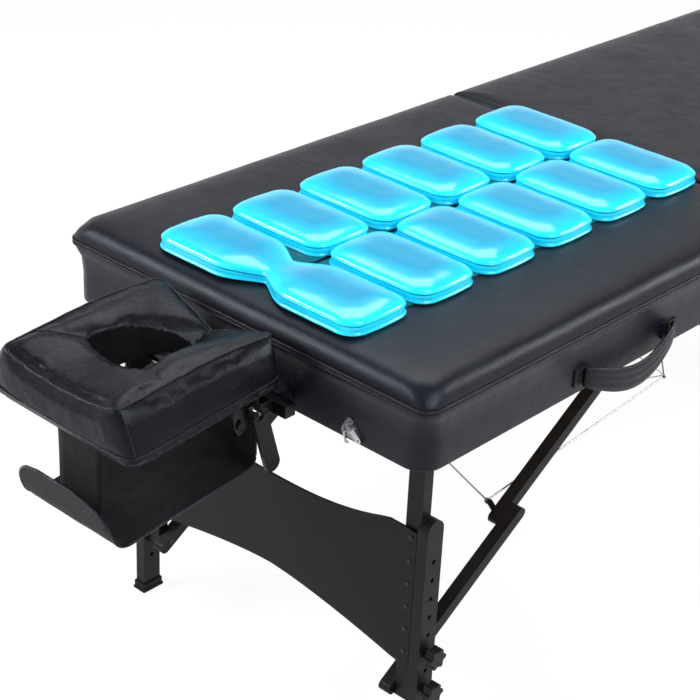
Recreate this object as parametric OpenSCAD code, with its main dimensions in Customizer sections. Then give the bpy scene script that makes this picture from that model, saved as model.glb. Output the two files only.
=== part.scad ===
// Folding massage table in two halves, with a face cradle, an arm sling and a gel overlay.
// X runs from the head end to the foot end, Y across the table and Z up from the floor.
// Lengths are in millimetres. The near side is -Y.

/* [Top] */
// Width of the top across its side seams
top_w = 762; // [740:1:800]
// Length of one half of the top
half_l = 920; // [900:1:960]
// Height of the foam crown above the deck
foam_h = 64; // [54:1:80]
// Height of the side seam above the deck
seam_rise = 28; // [20:1:34]
// How far the seam stands outside the lower edge of the cover
side_flare = 7; // [4:0.5:10]
// Radius of the vertical corners at the outer ends
corner_r = 45; // [30:1:60]
// Radius of the vertical corners at the centre
centre_corner_r = 20; // [12:1:30]
// Thickness of the vinyl cover
cover_t = 2.5; // [1.5:0.1:3.5]
// Bead of the piping along the seam
piping_r = 1.8; // [1:0.1:2.5]

/* [Frame] */
// Height of the wooden rails
rail_h = 76; // [72:1:90]
// Thickness of the wooden rails
rail_t = 18; // [14:1:20]
// Thickness of the deck board
deck_t = 6; // [4:0.5:8]
// Gap between the two halves where they meet
centre_gap = 0.4; // [0.2:0.1:1]
// Distance from the frame's lower edge down to the centre hinge pin
fold_drop = 5; // [4.8:0.1:7]

/* [Legs] */
// Place of the leg hinges from the head or foot end
leg_x = 106; // [100:1:120]
// Height of the leg hinge above the frame's lower edge
hinge_rise = 32; // [28:1:36]
// Width of an upper leg across the table
leg_w = 30; // [26:1:32]
// Depth of an upper leg along the table
leg_d = 20; // [18:1:24]
// Length of an upper leg below its hinge
leg_l = 512; // [500:1:520]
// Depth of a leg extension along the table
ext_w = 36; // [32:1:40]
// Thickness of a leg extension
ext_t = 20; // [16:1:22]
// Length of a leg extension
ext_l = 442; // [420:1:450]
// Distance between the height holes
hole_pitch = 33.5; // [30:0.5:36]
// Diameter of the height holes
hole_d = 8; // [6:0.1:10]
// Number of height holes
holes = 10; // [8:1:10]
// Height of the lowest hole above the floor
first_hole = 71.5; // [60:0.5:76]
// Which hole the lower knob is in, counted from zero at the foot
lower_hole = 2; // [2:1:3]
// Distance from the lower knob to the end of an upper leg
stud_in = 33.5; // [28:0.5:40]
// How many holes lie between the two knobs of a leg
knob_step = 2; // [1:1:3]
// Diameter of a leg knob
knob_d = 36; // [30:1:40]
// How far a leg knob stands out of its extension
knob_h = 24; // [18:1:26]
// How much further in the foot end's leg set is on each side
foot_set_in = 100; // [96:1:110]
// Height of a rubber foot
foot_h = 16; // [12:1:24]
// Wall of a rubber foot
foot_wall = 2.5; // [2:0.5:4]
// Rubber under the end of an extension
foot_sole = 3; // [2:0.5:6]

/* [End panels] */
// Thickness of an end panel
panel_t = 5; // [3:0.5:6]
// Height of the panel at its two upright edges
panel_h = 246; // [220:1:260]
// How much the panel's upper edge dips at the middle
panel_top_dip = 36; // [10:1:60]
// Distance from the panel's lower corners to the end of an upper leg
panel_in = 68; // [60:1:90]
// How much the panel's lower edge rises at the middle
panel_low_rise = 43; // [10:1:70]

/* [Braces] */
// Width of a brace link across the table
link_w = 21.4; // [18:0.2:22]
// Depth of a brace link
link_d = 20; // [16:1:24]
// Distance from the brace's pivot to the end of an upper leg
brace_in = 19; // [14:1:26]
// Distance from the centre fold to the brace's pivot on the frame
brace_end = 54; // [45:1:75]
// Radius of the steel cables
cable_r = 1.5; // [1:0.1:2]
// Radius of the thin guide cords
guide_r = 1; // [0.7:0.1:1.5]

/* [Face cradle] */
// Length of the face cushion
cushion_l = 280; // [260:1:300]
// Width of the face cushion at its base
cushion_w = 306; // [290:1:320]
// Height of the face cushion's rear corners
cushion_rear_h = 58; // [50:1:66]
// Height of the face cushion's front corners
cushion_front_h = 77; // [68:1:86]
// Nose-down tilt of the cradle platform in degrees
cradle_tilt = 6; // [0:1:8]
// Thickness of the cradle platform
platform_t = 8; // [6:1:10]
// Diameter of the pegs that carry the cradle
peg_d = 19; // [16:1:20]
// Length of a peg inside the table
peg_l = 120; // [100:1:140]
// Distance of each peg from the centre line
peg_y = 108; // [100:1:120]
// Diameter of the cradle's pivot rod
rod_d = 8; // [6:0.5:10]
// Length of the cam lever
lever_l = 110; // [90:1:120]

/* [Arm sling] */
// Width of the arm sling
sling_w = 196; // [180:1:200]
// Thickness of the sling's cloth
sling_t = 2; // [1.6:0.1:3]
// Depth of the sling below the cradle platform at its rear
sling_drop = 152; // [130:1:160]
// How high the front flap stands
flap_h = 82; // [60:1:100]

/* [Handles] */
// Distance between the two fixings of a carrying handle
handle_span = 231; // [200:1:260]
// How far a handle stands off the cover
handle_off = 25; // [22:1:35]
// Height of the handle's band
band_h = 40; // [30:1:44]
// Thickness of the handle's band
band_t = 9; // [6:0.5:12]

/* [Gel overlay] */
// Length of one gel pillow along the table
pillow_l = 134; // [120:1:138]
// Width of one gel pillow across the table
pillow_w = 208; // [190:1:212]
// Distance between pillows along the table
pillow_pitch = 150; // [146:1:152]
// Height of the gel pillows
pillow_h = 32; // [24:1:40]

/* [Hidden] */

// One overrun serves every cut.
cut = 1;
// Gap between pieces that are fixed to each other and don't share a face
fit_gap = 0.2;
// Gap between flat faces that slide past each other
lane_gap = 0.3;
// Radial clearance of pins that turn
pin_fit = 0.05;

// Heights above the floor
stud_drop = leg_l - stud_in;
hinge_z = first_hole + lower_hole * hole_pitch + stud_drop;
frame_z = hinge_z - hinge_rise;
deck_top = frame_z + rail_h;
seam_z = deck_top + seam_rise;
crown_z = deck_top + foam_h;
fold_z = frame_z - fold_drop;

// The frame's faces
cover_y = top_w / 2 - side_flare;
rail_y = cover_y - cover_t - fit_gap;
inner_y = rail_y - rail_t;
cover_x = side_flare;
rail_x = cover_x + cover_t + fit_gap;
half_end = half_l - centre_gap / 2;
rail_end = half_end - cover_t - fit_gap;
cover_corner_r = corner_r - side_flare;

// The lanes that the leg parts lie in, from the outer leg face inwards
knob_room = 4;
leg_y = inner_y - knob_room - knob_h - ext_t - 2 * lane_gap;
ext_y = leg_y + lane_gap;
lower_link_y = leg_y - leg_w - lane_gap;
upper_link_y = lower_link_y - link_w - lane_gap;
eye_plate_t = 3;
cable_y = upper_link_y - link_w - eye_plate_t - 3 * cable_r;

// Pivots of one leg set, in the X-Z plane
brace_drop = leg_l - brace_in;
brace_x = half_l - brace_end;
brace_run = brace_x - leg_x;
panel_low_drop = leg_l - panel_in;
panel_top_drop = panel_low_drop - panel_h;
leg_pivot = [leg_x, hinge_z - brace_drop];
frame_pivot = [brace_x, hinge_z];
brace_l = norm(frame_pivot - leg_pivot);
lower_link_l = (brace_l - (brace_run - brace_drop)) / 2;
upper_link_l = brace_l - lower_link_l;
brace_dir = (frame_pivot - leg_pivot) / brace_l;
brace_up = [-brace_dir[1], brace_dir[0]];
knee = leg_pivot + lower_link_l * brace_dir;
brace_angle = atan2(brace_dir[1], brace_dir[0]);

// Hinge pins and bolts
pin_r = 4;
bracket_t = 2.6;
bracket_w = 30;
leaf_t = 2.5;
leaf_l = 84;
leaf_reach = 17;
knuckle_r = 4.6;
fold_pin_r = 2;
leaf_y = 250;

// Height holes and studs
stud_drops = [stud_drop, stud_drop - knob_step * hole_pitch];
stud_r = 3.5;

// The cradle's pivot and its slot
pivot_x = -67;
pivot_z = frame_z + 24;
peg_z = pivot_z - 6;
bar_x = -30;
bar_w = 20;
bar_l = 284;
ear_t = 4;
plate_t = 4;
plate_y = 112;
rod_r = rod_d / 2;
guide_r0 = 30.5;
guide_angle = 203;
guide_bolt_r = 3;
platform_rise = 45;
cushion_rear_x = 27;

// Points on the cradle platform, turned about the pivot rod
function tilted(x, z) = [
  pivot_x + x * cos(cradle_tilt) - z * sin(cradle_tilt),
  pivot_z + x * sin(cradle_tilt) + z * cos(cradle_tilt)
];

// The sling's corner points in the X-Z plane
sling_rear_x = 26;
sling_floor_l = 264;
sling_fall = 33;
flap_lean = 28;
flap_r = 60;
sling_top = tilted(sling_rear_x, platform_rise);
sling_floor = sling_top + [2, -sling_drop];
sling_front = sling_floor + [4 - sling_floor_l, -sling_fall];
flap_top = sling_front + [-flap_lean, flap_h];

// Outer limits of the part, which set its origin at the middle of its base
part_x0 = flap_top[0] - sling_t * flap_h / norm([flap_lean, flap_h]);
part_x1 = 2 * half_l + piping_r;
origin_x = (part_x0 + part_x1) / 2;
band_y = -(cover_y + handle_off + band_t / 2);
part_y1 = top_w / 2 + piping_r;
origin_y = (band_y - band_t / 2 + part_y1) / 2;

round_fn = 64;

// Helpers

module place() {
  translate([-origin_x, -origin_y, 0]) children();
}

module both_sides() {
  children();
  mirror([0, 1, 0]) children();
}

// Turns a head half into a foot half.
module as_foot() {
  translate([2 * half_l, 0, 0]) mirror([1, 0, 0]) children();
}

// Extrudes an X-Z outline inwards from the plane Y = outer.
module lane(outer, width) {
  translate([0, outer, 0]) rotate([90, 0, 0]) linear_extrude(width) children();
}

// A board with its own radius at each end
module plan(x0, x1, half_w, r0, r1) {
  translate([x0 + r0, -half_w]) square([x1 - r1 - x0 - r0, 2 * half_w]);
  translate([x0, r0 - half_w]) square([r0, 2 * (half_w - r0)]);
  translate([x1 - r1, r1 - half_w]) square([r1, 2 * (half_w - r1)]);
  for (s = [-1, 1]) {
    translate([x0 + r0, s * (half_w - r0)]) circle(r0, $fn = round_fn);
    translate([x1 - r1, s * (half_w - r1)]) circle(r1, $fn = round_fn);
  }
}

// A bar with full-round ends from one X-Z point to another
module bar_shape(a, b, over_a, over_b, d) {
  l = norm(b - a);
  translate(a) rotate(atan2(b[1] - a[1], b[0] - a[0])) {
    translate([-over_a, -d / 2]) square([l + over_a + over_b, d]);
    translate([-over_a, 0]) circle(d / 2, $fn = round_fn);
    translate([l + over_b, 0]) circle(d / 2, $fn = round_fn);
  }
}

// A round rod between two points
module rod_between(a, b, r, sides = 12) {
  v = b - a;
  translate(a)
    rotate([0, acos(v[2] / norm(v)), atan2(v[1], v[0])])
      cylinder(h = norm(v), r = r, $fn = sides);
}

// A ring of points round a half of the top: rounded corners at the outer end and at the centre.
// The insets are taken from the seam: across the sides, at the outer end and at the centre.
corner_steps = 7;
function corner_points(c, r, from) = [
  for (i = [0:corner_steps]) c + r * [cos(from + 90 * i / corner_steps), sin(from + 90 * i / corner_steps)]
];
function ring_points(side, end, centre) =
  let (
    w = top_w / 2 - side,
    x0 = end,
    x1 = half_end - centre,
    r0 = max(corner_r - side, corner_r / 4),
    r1 = max(centre_corner_r - side, centre_corner_r / 4)
  )
  concat(
    corner_points([x1 - r1, w - r1], r1, 0),
    corner_points([x0 + r0, w - r0], r0, 90),
    corner_points([x0 + r0, r0 - w], r0, 180),
    corner_points([x1 - r1, r1 - w], r1, 270)
  );

// A closed skin over rings that all have the same number of points
function skin_faces(rows, n) = concat(
  [for (j = [0:rows - 2]) for (i = [0:n - 1]) let (k = (i + 1) % n)
    each [[j * n + i, (j + 1) * n + i, (j + 1) * n + k], [j * n + i, (j + 1) * n + k, j * n + k]]]
);
function fan_faces(first, n, tip, flip) = [
  for (i = [0:n - 1]) let (k = (i + 1) % n)
    flip ? [first + i, first + k, tip] : [first + k, first + i, tip]
];

// The frame of one half

module frame_boards() {
  color("tan") intersection() {
    translate([0, 0, frame_z]) linear_extrude(rail_h)
      plan(rail_x, rail_end, rail_y, cover_corner_r - cover_t - fit_gap, centre_corner_r / 2);
    difference() {
      union() {
        both_sides() translate([rail_x - cut, inner_y, frame_z])
          cube([rail_end - rail_x + 2 * cut, rail_t + cut, rail_h]);
        translate([rail_x - cut, fit_gap - inner_y, frame_z])
          cube([rail_t + cut, 2 * (inner_y - fit_gap), rail_h]);
        translate([rail_end - rail_t, fit_gap - inner_y, frame_z])
          cube([rail_t + cut, 2 * (inner_y - fit_gap), rail_h]);
      }
      both_sides() translate([rail_x - cut, peg_y, peg_z]) rotate([0, 90, 0])
        cylinder(h = rail_t + 2 * cut, d = peg_d + 2 * pin_fit, $fn = round_fn);
    }
  }
}

module deck_board() {
  color("tan") translate([0, 0, deck_top - deck_t]) linear_extrude(deck_t)
    translate([rail_x + rail_t + fit_gap, fit_gap - inner_y])
      square([rail_end - rail_x - 2 * rail_t - 2 * fit_gap, 2 * (inner_y - fit_gap)]);
}

module cover_skirt() {
  color("#3a3c46") difference() {
    translate([0, 0, frame_z]) linear_extrude(rail_h) difference() {
      plan(cover_x, half_end, cover_y, cover_corner_r, centre_corner_r / 2 + cover_t);
      plan(cover_x + cover_t, half_end - cover_t, cover_y - cover_t,
        cover_corner_r - cover_t, centre_corner_r / 2);
    }
    both_sides() translate([cover_x - cut, peg_y, peg_z]) rotate([0, 90, 0])
      cylinder(h = cover_t + 2 * cut, d = peg_d + 2 * pin_fit, $fn = round_fn);
  }
}

// Rows of the cushion's section: height, then insets at the sides, the outer end and the centre
crown_shares = [[0.2, 0.06], [0.42, 0.14], [0.62, 0.28], [0.79, 0.5], [0.91, 0.85], [0.98, 1.35], [1, 2]];
crown_reach = 36;
centre_share = 0.5;
low_shares = [[0, 1], [0.3, 0.45], [0.62, 0.12], [0.88, 0]];
function cushion_rows() = concat(
  [for (s = low_shares) [deck_top + seam_rise * s[0], side_flare * s[1], side_flare * s[1], 0]],
  [
    [seam_z - piping_r, -piping_r, -piping_r, 0],
    [seam_z, 0, 0, 0],
    [seam_z + piping_r, -piping_r, -piping_r, 0]
  ],
  [for (s = crown_shares) [
    seam_z + piping_r + (foam_h - seam_rise - piping_r) * s[0],
    crown_reach * s[1], crown_reach * s[1], crown_reach * s[1] * centre_share
  ]]
);
module cushion_body() {
  rows = cushion_rows();
  n = 4 * (corner_steps + 1);
  rings = [for (r = rows) [for (p = ring_points(r[1], r[2], r[3])) [p[0], p[1], r[0]]]];
  points = concat([for (r = rings) each r], [[half_l / 2, 0, deck_top], [half_l / 2, 0, crown_z]]);
  last = len(rows) - 1;
  color("#2c2d33") polyhedron(points, concat(
    skin_faces(len(rows), n),
    fan_faces(0, n, len(points) - 2, true),
    fan_faces(last * n, n, len(points) - 1, false)
  ), convexity = 4);
}

// Butt hinges under the centre rails: the head half's leaves carry the pins.
knuckle_l = leaf_l / 3;
module leaf_plate() {
  translate([half_l - leaf_reach - knuckle_r, -leaf_l / 2, frame_z - leaf_t])
    cube([leaf_reach + knuckle_r - centre_gap, leaf_l, leaf_t]);
}
module knuckle(y0, l) {
  translate([half_l, y0 + l, fold_z]) rotate([90, 0, 0]) cylinder(h = l, r = knuckle_r, $fn = round_fn);
}
module head_leaf() {
  difference() {
    leaf_plate();
    translate([half_l - knuckle_r - lane_gap, -knuckle_l / 2 - lane_gap, frame_z - leaf_t - cut])
      cube([knuckle_r + lane_gap + cut, knuckle_l + 2 * lane_gap, leaf_t + 2 * cut]);
  }
  for (s = [-1, 1]) knuckle(s * knuckle_l - knuckle_l / 2, knuckle_l);
  knuckle_pin(fold_pin_r, leaf_l);
}
module knuckle_pin(r, l) {
  translate([half_l, l / 2, fold_z]) rotate([90, 0, 0]) cylinder(h = l, r = r, $fn = round_fn);
}
module foot_leaf() {
  difference() {
    union() {
      difference() {
        translate([2 * half_l, 0, 0]) mirror([1, 0, 0]) leaf_plate();
        for (s = [-1, 1])
          translate([half_l - cut, s * knuckle_l - knuckle_l / 2 - lane_gap, frame_z - leaf_t - cut])
            cube([knuckle_r + lane_gap + cut, knuckle_l + 2 * lane_gap, leaf_t + 2 * cut]);
      }
      knuckle(lane_gap - knuckle_l / 2, knuckle_l - 2 * lane_gap);
    }
    knuckle_pin(fold_pin_r + pin_fit, leaf_l + cut);
  }
}

// Carrying handle: a padded band that sags between two fixings on the near side
handle_x = 362;
handle_z = frame_z + 29;
handle_sag = 28;
// The foot half's band stands closer, so that the two pass side by side when the table folds
foot_handle_off = handle_off - band_t - 2;
head_rise_power = 0.55;
foot_rise_power = 1.3;
sag_power = 1.2;
fixing_w = 34;
fixing_t = 3.5;
ring_r = 15;
ring_wire = 3;
band_steps = 20;
function band_point(t, off, rise_power) = [
  handle_x + handle_span * t,
  -cover_y - fixing_t - band_t / 2 - (off - fixing_t) * pow(sin(180 * t), rise_power),
  handle_z - handle_sag * pow(sin(180 * t), sag_power)
];
band_shares = [[-0.5, -0.32], [-0.3, -0.5], [0.3, -0.5], [0.5, -0.32], [0.5, 0.32], [0.3, 0.5], [-0.3, 0.5], [-0.5, 0.32]];
module handle_band(off, rise_power) {
  n = len(band_shares);
  centres = [for (i = [0:band_steps]) band_point(i / band_steps, off, rise_power)];
  points = [for (c = centres) for (s = band_shares) c + [0, band_t * s[0], band_h * s[1]]];
  color("#3a3c46") polyhedron(points, concat(
    [for (f = skin_faces(band_steps + 1, n)) [f[0], f[1], f[2]]],
    [for (i = [1:n - 2]) [0, i, i + 1]],
    [for (i = [1:n - 2]) let (b = band_steps * n) [b, b + i + 1, b + i]]
  ), convexity = 4);
}
module handle_fixings() {
  color("#1c1c1f") for (x = [handle_x, handle_x + handle_span])
    translate([x, -cover_y, handle_z]) rotate([90, 0, 0]) {
      translate([0, -band_h / 2 + ring_wire, 0]) linear_extrude(fixing_t - lane_gap) difference() {
        translate([-fixing_w / 2, ring_wire]) square([fixing_w, band_h - 4 * ring_wire]);
        for (h = [1, 3]) translate([0, band_h * h / 5]) circle(stud_r / 2, $fn = round_fn);
      }
    }
}

// Draw latches on the head end, which hook the keepers when the table is folded
latch_y = 237.4;
latch_rise = 22.4;
latch_plate_t = 2;
latch_pin_r = 3;
latch_lever_t = 2.4;
latch_outline = [[3, 9, 6], [-14, -13, 7], [11, -10, 6], [11, -8, 7]];
hook_place = [11.4, -8.4];
latch_arm = [-17, -14];
module on_head_face(side) {
  translate([cover_x, side * latch_y, frame_z + latch_rise]) rotate([0, -90, 0]) rotate([0, 0, -90])
    mirror([side < 0 ? 1 : 0, 0, 0]) children();
}
module latch_plate() {
  linear_extrude(latch_plate_t) hull() for (c = latch_outline) translate([c[0], c[1]]) circle(c[2], $fn = 24);
  cylinder(h = latch_plate_t + latch_lever_t + 3, r = latch_pin_r, $fn = round_fn);
  translate([0, 0, latch_plate_t + latch_lever_t + 2 * lane_gap])
    cylinder(h = 2, r = latch_pin_r + 2, $fn = round_fn);
  translate(hook_place) cylinder(h = latch_plate_t + latch_lever_t + 2, r = 2, $fn = round_fn);
}
module latch_lever_arm() {
  translate([0, 0, latch_plate_t + lane_gap]) linear_extrude(latch_lever_t) difference() {
    union() {
      circle(8, $fn = round_fn);
      bar_shape([0, 0], latch_arm, 0, 0, 10);
    }
    circle(latch_pin_r + pin_fit, $fn = round_fn);
    translate(latch_arm) circle(1.6, $fn = round_fn);
  }
}
module latch_hook_arm() {
  translate([hook_place[0], hook_place[1], latch_plate_t + lane_gap]) linear_extrude(latch_lever_t) difference() {
    union() {
      circle(4, $fn = round_fn);
      bar_shape([0, -3], [-4, -17], 0, 0, 3.4);
      translate([-9, -18.7]) square([6, 3.4]);
    }
    circle(2 + pin_fit, $fn = round_fn);
  }
}
module latch_keeper() {
  translate([2 * half_l - cover_x, latch_y - hook_place[0] + 2, frame_z + 2]) {
    translate([0, -8, 0]) cube([latch_plate_t, 16, 12]);
    translate([0, -5, 2]) cube([6, 10, 4]);
  }
}

// Hinge brackets under the deck: a foot plate, two cheeks and a pin
module pivot_bracket(x, outer, width) {
  z1 = deck_top - deck_t;
  lane(outer + lane_gap + bracket_t, bracket_t) cheek_shape(x, z1);
  lane(outer - width - lane_gap, bracket_t) cheek_shape(x, z1);
  translate([x - bracket_w / 2, outer - width - lane_gap - bracket_t, z1 - bracket_t])
    cube([bracket_w, width + 2 * (lane_gap + bracket_t), bracket_t]);
  lane(outer + lane_gap + bracket_t, width + 2 * (lane_gap + bracket_t))
    translate([x, hinge_z]) circle(pin_r, $fn = round_fn);
}
module cheek_shape(x, z1) {
  translate([x, hinge_z]) circle(bracket_w / 3, $fn = round_fn);
  translate([x - bracket_w / 3, hinge_z]) square([2 * bracket_w / 3, z1 - hinge_z]);
}
// Where a short cable is hung from the deck
anchor_x = 92;
anchor_drop = 43;
anchor_stem_r = 3;
module cable_anchor(y) {
  translate([anchor_x, y, deck_top - deck_t - anchor_drop])
    cylinder(h = anchor_drop, r = anchor_stem_r, $fn = round_fn);
}
module brackets(inset) {
  color("dimgray") both_sides() {
    pivot_bracket(leg_x, leg_y - inset, leg_w);
    pivot_bracket(brace_x, upper_link_y - inset, link_w);
    cable_anchor(cable_y - inset);
  }
}

// Legs

module leg_bar(inset) {
  lane(leg_y - inset, leg_w) difference() {
    union() {
      translate([leg_x, hinge_z]) circle(leg_d / 2, $fn = round_fn);
      translate([leg_x - leg_d / 2, hinge_z - leg_l]) square([leg_d, leg_l]);
    }
    translate([leg_x, hinge_z]) circle(pin_r + pin_fit, $fn = round_fn);
    translate(leg_pivot) circle(pin_r + fit_gap, $fn = round_fn);
    for (drop = stud_drops) translate([leg_x, hinge_z - drop]) circle(stud_r + fit_gap, $fn = round_fn);
  }
}
module upper_legs(inset) {
  color("#1d1d20") both_sides() leg_bar(inset);
}

panel_steps = 16;
panel_curve_share = 0.8;
panel_edge = 3;
function panel_top(s) = hinge_z - panel_top_drop
  - panel_top_dip * (1 - pow(min(1, abs(s) / panel_curve_share), 2.5));
function panel_low(s) = hinge_z - panel_low_drop
  + panel_low_rise * (1 - pow(min(1, abs(s) / (panel_curve_share + 0.12)), 1.5));
module end_panel(inset) {
  w = leg_y - inset - panel_edge;
  color("#333438") translate([leg_x - leg_d / 2 - panel_t, 0, 0])
    rotate([90, 0, 90]) linear_extrude(panel_t) polygon(concat(
      [for (i = [-panel_steps:panel_steps]) [w * i / panel_steps, panel_top(i / panel_steps)]],
      [for (i = [-panel_steps:panel_steps]) [-w * i / panel_steps, panel_low(-i / panel_steps)]]
    ));
}

screw_r = 4;
screw_t = 1;
screws = 6;
screw_top = 13;
module leg_bolts(inset) {
  color("silver") both_sides() {
    for (i = [0:screws - 1])
      translate([
        leg_x - leg_d / 2 - panel_t - screw_t, leg_y - inset - leg_w / 2,
        hinge_z - panel_top_drop - screw_top
          - i * (panel_low_drop - panel_top_drop - 3 * screw_top) / (screws - 1)
      ]) rotate([0, 90, 0]) cylinder(h = screw_t, r = screw_r, $fn = round_fn);
    for (drop = stud_drops) lane(leg_y - inset, leg_w)
      translate([leg_x, hinge_z - drop]) circle(stud_r, $fn = round_fn);
    lane(leg_y - inset, leg_w + lane_gap + link_w)
      translate(leg_pivot) circle(pin_r, $fn = round_fn);
  }
}

module extension(inset, side) {
  h0 = foot_sole;
  color("#1d1d20") mirror([0, side < 0 ? 1 : 0, 0]) lane(ext_y - inset + ext_t, ext_t) difference() {
    union() {
      translate([leg_x - ext_w / 2, h0]) square([ext_w, ext_l - ext_w / 2]);
      translate([leg_x, h0 + ext_l - ext_w / 2]) circle(ext_w / 2, $fn = round_fn);
    }
    for (i = [0:holes - 1]) translate([leg_x, first_hole + i * hole_pitch]) circle(hole_d / 2, $fn = round_fn);
  }
}

module rubber_foot(inset, side) {
  flare = 1.5;
  y0 = ext_y - inset - foot_wall;
  color("#141414") mirror([0, side < 0 ? 1 : 0, 0]) difference() {
    union() {
      translate([leg_x - ext_w / 2 - foot_wall, y0, 0]) cube([ext_w + 2 * foot_wall, ext_t + 2 * foot_wall, foot_h]);
      translate([leg_x - ext_w / 2 - foot_wall - flare, y0 - flare, 0])
        cube([ext_w + 2 * (foot_wall + flare), ext_t + 2 * (foot_wall + flare), foot_sole + flare]);
    }
    translate([leg_x - ext_w / 2, ext_y - inset, foot_sole]) cube([ext_w, ext_t, foot_h]);
    // The inner wall ends below the upper leg.
  }
}

// Star knob on the outer face of an extension
lobes = 6;
hub_share = 0.4;
module star_knob(inset, side, drop) {
  lobe_r = knob_d / 8;
  stem = knob_h / 3;
  color("#141414") mirror([0, side < 0 ? 1 : 0, 0])
    translate([leg_x, ext_y - inset + ext_t + lane_gap, hinge_z - drop]) rotate([-90, 0, 0]) {
      cylinder(h = stem + cut, r = knob_d * hub_share / 2, $fn = round_fn);
      translate([0, 0, stem]) linear_extrude(knob_h - stem) {
        circle(knob_d / 2 - lobe_r, $fn = round_fn);
        for (i = [0:lobes - 1]) rotate(360 * i / lobes)
          translate([knob_d / 2 - lobe_r, 0]) circle(lobe_r, $fn = round_fn);
      }
    }
}

// Braces

link_over = 26;
knee_over = 20;
module lower_link(inset) {
  lane(lower_link_y - inset, link_w) difference() {
    bar_shape(leg_pivot, knee, link_over - link_d / 2, link_over - link_d / 2, link_d);
    translate(leg_pivot) circle(pin_r + pin_fit, $fn = round_fn);
  }
}
module upper_link(inset) {
  lane(upper_link_y - inset, link_w) difference() {
    bar_shape(knee, frame_pivot, knee_over - link_d / 2, 0, link_d);
    translate(frame_pivot) circle(pin_r + pin_fit, $fn = round_fn);
    translate(knee) circle(pin_r + fit_gap, $fn = round_fn);
  }
}
module upper_links(inset) {
  color("#1d1d20") both_sides() {
    upper_link(inset);
    guide_eyes(inset);
  }
}
module lower_links(inset) {
  color("#1d1d20") both_sides() lower_link(inset);
}

// The knee: a bolt and a plate with a stud for the cables; two small eyes on the upper link take the guide cords
eye_up = 27;
stud_stub_r = 2.5;
stud_stub_l = 4 * cable_r;
eye_point = knee + eye_up * brace_up;
guide_shares = [0.44, 0.63];
function on_upper_link(s) = knee + s * (frame_pivot - knee) * upper_link_l / norm(frame_pivot - knee);
module knee_bolt(inset) {
  face = upper_link_y - inset - link_w;
  lane(upper_link_y - inset, link_w) translate(knee) circle(pin_r, $fn = round_fn);
  lane(face, eye_plate_t) bar_shape(knee, eye_point, 0, 0, link_d / 2);
  lane(face - eye_plate_t, stud_stub_l) translate(eye_point) circle(stud_stub_r, $fn = round_fn);
}
module guide_eyes(inset) {
  face = upper_link_y - inset - link_w;
  for (s = guide_shares) lane(face + cut, face - cable_y + inset + guide_r + cut)
    translate(on_upper_link(s)) circle(2 * guide_r, $fn = round_fn);
}
module knee_bolts(inset) {
  color("silver") both_sides() knee_bolt(inset);
}

// Steel cables from the knee to the frame and on to the other half, with the cords that hold them up
guide_x = 854;
guide_z = 365;
centre_drop = 5;
eyelet_r = 5;
eyelet_t = 2;
guide_ring_r = 3;
module eyelet(p, y) {
  lane(y + eyelet_t / 2, eyelet_t) translate(p) difference() {
    circle(eyelet_r, $fn = round_fn);
    circle(stud_stub_r + pin_fit, $fn = round_fn);
  }
}
module cable_run(a, b, from, to) {
  v = (b - a) / norm(b - a);
  rod_between(a + from * v, b - to * v, cable_r);
}
module cables(inset, centre_y) {
  y = cable_y - inset;
  y0 = y + eyelet_t / 2 + lane_gap / 2;
  y1 = y - eyelet_t / 2 - lane_gap / 2;
  at_eye = [eye_point[0], y0, eye_point[1]];
  low_eye = [eye_point[0], y1, eye_point[1]];
  anchor = [anchor_x, y, deck_top - deck_t - anchor_drop];
  ring = [guide_x, y, guide_z];
  centre = [half_end, centre_y, guide_z - centre_drop];
  start = stud_stub_r + 1;
  color("silver") both_sides() {
    eyelet(eye_point, y0);
    cable_run(at_eye, anchor, start, cable_r + lane_gap / 2);
    eyelet(eye_point, y1);
    cable_run(low_eye, ring, start, 0);
    cable_run(ring, centre, 0, 0);
    translate(ring) sphere(cable_r, $fn = 24);
  }
  color("black") both_sides() {
    translate(ring) rotate([0, 90, 0]) rotate_extrude($fn = 24)
      translate([guide_ring_r, 0]) circle(cable_r * 0.8, $fn = 16);
    for (s = guide_shares) {
      p = on_upper_link(s);
      from = [p[0], y, p[1]];
      v = (ring - from) / norm(ring - from);
      rod_between(from + (2 * guide_r + lane_gap / 2) * v, ring + [0, 0, guide_ring_r], guide_r, 8);
    }
  }
}

// Face cradle

slot_turn = 17;
slot_steps = 8;
slot_w = guide_bolt_r + lane_gap;
function slot_arc(r, from, to) = [for (i = [0:slot_steps])
  let (a = from + (to - from) * i / slot_steps) r * [cos(a), sin(a)]];
function slot_end(turn, from) = [for (i = [1:slot_steps - 1])
  guide_r0 * [cos(turn), sin(turn)]
    + slot_w * [cos(from + 180 * i / slot_steps), sin(from + 180 * i / slot_steps)]];
module slot_shape() {
  rotate(guide_angle) polygon(concat(
    slot_arc(guide_r0 + slot_w, -slot_turn, slot_turn),
    slot_end(slot_turn, slot_turn),
    slot_arc(guide_r0 - slot_w, slot_turn, -slot_turn),
    slot_end(-slot_turn, 180 - slot_turn)));
}
pivot_boss_r = 14;
slot_rim = 10;
wing_l = 60;
wing_up = [8, 24];
wing_down = [12, 48];
module quadrant_shape() {
  translate([pivot_x, pivot_z]) {
    circle(pivot_boss_r, $fn = round_fn);
    intersection() {
      circle(guide_r0 + slot_rim, $fn = round_fn);
      polygon([[0, wing_up[0]], [-wing_l, wing_up[1]], [-wing_l, -wing_down[1]], [0, -wing_down[0]]]);
    }
    translate([0, peg_z - pivot_z - bar_w / 2]) square([bar_x - pivot_x, bar_w]);
  }
}
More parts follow.
